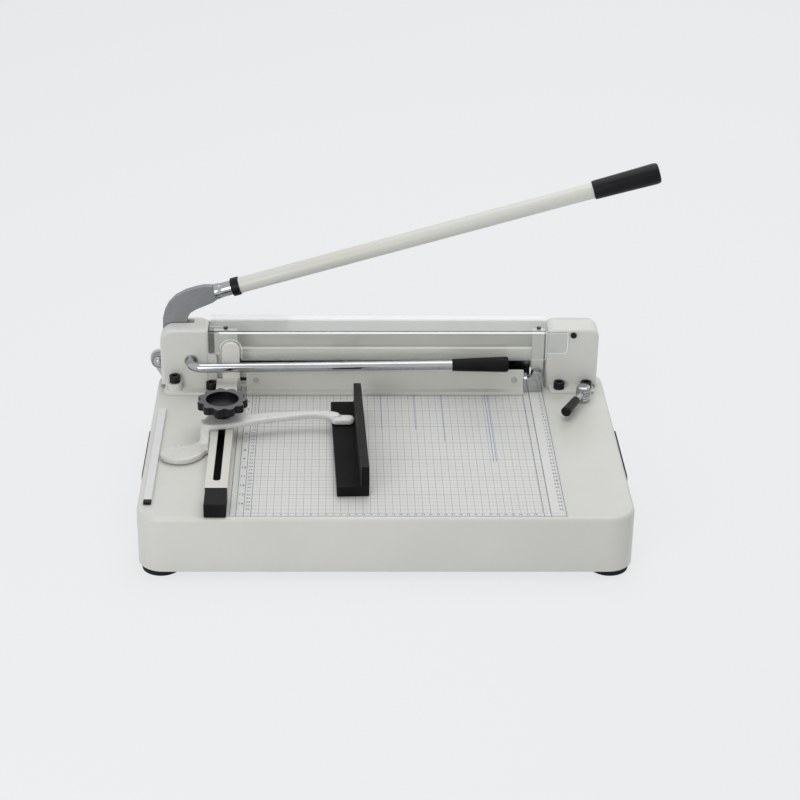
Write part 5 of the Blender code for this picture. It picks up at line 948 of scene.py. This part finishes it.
def make_guard():
    """The clear sheet, with a painted glowing highlight on its sawn edges, its bend and a thin rim inset on
    its front faces.
    """
    piece = finished_copy("clear_guard", "guard", 0.0003, 2)
    bpy.ops.mesh.customdata_custom_splitnormals_clear()
    bpy.ops.object.shade_flat()
    low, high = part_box("guard")
    pick_faces(piece, lambda center, normal: normal.y < -0.95)
    bpy.ops.mesh.inset(thickness=GUARD_HIGHLIGHT_RIM, use_even_offset=False)
    leave_edit()
    panes = {face.index for face in piece.data.polygons if face.select}
    piece.data.materials.append(CLEAR)
    piece.data.materials.append(GLOWING_EDGE)
    # Faces that get the painted glowing highlight: sawn edges, back edges, the bend and the front rim.
    for face in piece.data.polygons:
        sawn = abs(face.normal.x) > 0.5 or face.normal.z < -0.5 and face.center.z < high.z - GUARD_BEND
        behind = face.normal.y > 0.5 and face.center.y > high.y - GUARD_BEND
        bent = face.normal.y < -0.5 and face.normal.z > 0.5
        highlight_rim = face.normal.y < -0.95 and face.index not in panes
        if sawn or behind or bent or highlight_rim:
            face.material_index = 1
    left_end = low.x + GUARD_CLEAR_END
    edit_all(piece)
    bpy.ops.mesh.bisect(plane_co=(left_end, 0, 0), plane_no=(1, 0, 0))
    leave_edit()
    for face in piece.data.polygons:
        if face.center.x < left_end:
            face.material_index = 0


def make_rail():
    """The slotted channel, with painted shade inside."""
    piece = finished_copy("slotted_side_rail", "side_rail", 0.0007, 2)
    piece.data.materials.append(PALE_CREAM)
    low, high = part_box("side_rail")
    skin = 0.0028
    lip = 0.0005

    def is_inside(center, normal):
        within_x = low.x + skin < center.x < high.x - skin
        return within_x and low.z + skin < center.z < high.z - lip

    # Painted shade on the faces inside the channel.
    paint_faces(piece, PAINTED_SHADE, is_inside)


def joined(name, pieces):
    work_on(pieces[0])
    for piece in pieces:
        piece.select_set(True)
    bpy.ops.object.join()
    whole = bpy.context.object
    whole.name = name
    return whole


LOCK_TURN = math.radians(244.0)
LOCK_ARM_HEIGHT = 0.014
LOCK_ARM_FROM = 0.006
LOCK_GRIP_FROM = 0.030
KNURL_MIDDLE = 0.0138
KNURL_HALF = 0.0068


def make_lock_lever():
    """A knurled hub with a collar, its thin arm and a grip that widens to a flat end."""
    along = Vector((math.cos(LOCK_TURN), math.sin(LOCK_TURN), 0))
    place = Vector(frame_joint("lock_lever_turn"))
    hub = lathe("lock_hub", LOCK_HUB_RINGS, place, (0, 0, 1), 48)
    middle_z = place.z + KNURL_MIDDLE
    pick_faces(hub, lambda center, normal: abs(center.z - middle_z) < KNURL_HALF and abs(normal.z) < 0.3)
    bpy.ops.mesh.inset(thickness=0.00022, depth=-0.00035, use_individual=True)
    leave_edit()
    arm_axis = place + Vector((0, 0, LOCK_ARM_HEIGHT))
    arm = lathe("lock_arm", LOCK_ARM_RINGS, arm_axis + along * LOCK_ARM_FROM, along, 32)
    hub.data.materials.append(PLATING)
    arm.data.materials.append(PLATING)
    stands_for(joined("lock_hub_and_arm", [hub, arm]), "lock_lever")
    grip_start = arm_axis + along * LOCK_GRIP_FROM
    turned_piece("lock_hand_grip", "lock_lever_grip", LOCK_GRIP_RINGS, grip_start, along, BLACK_MOULDING, 40)


def frame_joint(name):
    """Where a joint's axis stands, from the record."""
    joints = {joint["name"]: joint for joint in frame["record"]["behaviour"]["joints"]}
    return joints[name]["pos_m"]


ROLLER_FROM_RIGHT = 0.0094
ROLLER_FROM_TOP = 0.0074


def make_shoe_roller():
    """The turned steel disc on the front of the right clamp shoe."""
    low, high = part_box("clamp_shoe_right")
    middle = Vector((high.x - ROLLER_FROM_RIGHT, low.y, high.z - ROLLER_FROM_TOP))
    roller = lathe("clamp_shoe_roller", ROLLER_RINGS, middle, (0, -1, 0), 48)
    roller.data.materials.append(CHROME)
    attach(roller, "clamp")


NOTCH_WIDTH = 0.0060
NOTCH_DEPTH = 0.014
NOTCH_HEIGHT = 0.0058
NOTCH_SKIN = 0.0001
COVER_SCREW_DEPTH = 0.012


def finish_copies():
    for node, (width, material) in FINISHED.items():
        piece = finished_copy(f"{node}_finished", node, width, 2)
        piece.data.materials.append(material)
        if node in ("left_cover", "right_cover"):
            notch_foot(piece, node)


def notch_foot(piece, node):
    """The small gap that a cover leaves at its outer front foot."""
    low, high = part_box(node)
    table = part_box("grid_sheet")[0].z
    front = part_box("right_cover_screw")[1].y - COVER_SCREW_DEPTH
    margin = 0.001
    if node == "left_cover":
        across = (low.x - margin, low.x + NOTCH_WIDTH)
    else:
        across = (high.x - NOTCH_WIDTH, high.x + margin)
    start = (across[0], front - margin, table - margin)
    end = (across[1], front + NOTCH_DEPTH, table + NOTCH_HEIGHT)
    carve(piece, block("foot notch", start, end))

    def in_notch(center, normal):
        within = (start[side] - NOTCH_SKIN < center[side] < end[side] + NOTCH_SKIN for side in range(3))
        return all(within) and normal.y < 0.5

    # Painted shade on the faces inside the gap.
    paint_faces(piece, PAINTED_SHADE, in_notch)


# Studio

FLOOR_TONE = (0.846, 0.855, 0.871, 1)
FLOOR_GLOW = 0.85
WORLD_TONE = (0.97, 0.98, 1.0, 1)
WORLD_LIGHT = 0.5
# Name, place, size and power of each lamp, and the spot that it points at.
LAMPS = (
    ("overhead softbox", (0.25, 0.50, 2.2), 2.2, 21.0, (0.0, 0.0, 0.1)),
    ("front key", (-1.0, -1.80, 1.0), 1.2, 14.0, (0.0, 0.0, 0.1)),
    ("rear softbox", (0.9, 2.6, 1.5), 2.4, 6.5, (0.1, 0.0, 0.1)),
)
CAMERA_PLACE = (-0.093439, -2.5805, 1.456)
CAMERA_TILT = math.radians(63.25)
CAMERA_LENS = 91.935
CAMERA_SHIFT = 0.07875


def seen_as_backdrop(tree):
    """1 for the camera, and for what shows through glass or as a reflection."""
    path = tree.nodes.new("ShaderNodeLightPath")
    seen = calc(tree, "MAXIMUM", path.outputs["Is Camera Ray"], path.outputs["Is Transmission Ray"])
    return calc(tree, "MAXIMUM", seen, path.outputs["Is Glossy Ray"])


def make_floor():
    clear_selection()
    bpy.ops.mesh.primitive_plane_add(size=24, location=(0, 4, 0))
    floor = bpy.context.object
    floor.name = "studio_floor"
    material, tree, shader, _ = new_material("Studio floor")
    shader.inputs["Base Color"].default_value = FLOOR_TONE
    shader.inputs["Roughness"].default_value = 0.9
    shader.inputs["Specular IOR Level"].default_value = 0.1
    glow = tree.nodes.new("ShaderNodeEmission")
    glow.inputs["Color"].default_value = FLOOR_TONE
    glow.inputs["Strength"].default_value = 1.0
    share = calc(tree, "MULTIPLY", seen_as_backdrop(tree), FLOOR_GLOW)
    mix_shaders(tree, share, shader.outputs["BSDF"], glow.outputs["Emission"], "Material Output")
    floor.data.materials.append(material)


def make_world():
    world = bpy.data.worlds.new("Studio")
    bpy.context.scene.world = world
    world.use_nodes = True
    tree = world.node_tree
    light = tree.nodes["Background"]
    light.inputs["Color"].default_value = WORLD_TONE
    light.inputs["Strength"].default_value = WORLD_LIGHT
    backdrop = tree.nodes.new("ShaderNodeBackground")
    backdrop.inputs["Color"].default_value = FLOOR_TONE
    backdrop.inputs["Strength"].default_value = 1.0
    share = seen_as_backdrop(tree)
    mix_shaders(tree, share, light.outputs["Background"], backdrop.outputs["Background"], "World Output")


def make_studio():
    make_floor()
    make_world()
    for name, place, size, power, target in LAMPS:
        clear_selection()
        bpy.ops.object.light_add(type="AREA", location=place)
        lamp = bpy.context.object
        lamp.name = name
        lamp.data.shape = "DISK"
        lamp.data.size = size
        lamp.data.energy = power
        lamp.rotation_euler = (Vector(target) - Vector(place)).to_track_quat("-Z", "Y").to_euler()


def make_camera():
    clear_selection()
    bpy.ops.object.camera_add(location=CAMERA_PLACE, rotation=(CAMERA_TILT, 0, 0))
    camera = bpy.context.object
    camera.name = "photo_camera"
    camera.data.sensor_width = 36.0
    camera.data.lens = CAMERA_LENS
    camera.data.shift_x = CAMERA_SHIFT
    bpy.context.scene.camera = camera


make_camera()
make_table_box()
make_lever_pieces()
make_clamp_rod()
make_feet()
make_gauge_arm()
make_knob()
make_stack_block()
make_guard()
make_rail()
make_lock_lever()
make_shoe_roller()
finish_copies()
print_numbers()
make_studio()
bpy.context.scene.view_settings.view_transform = "Standard"
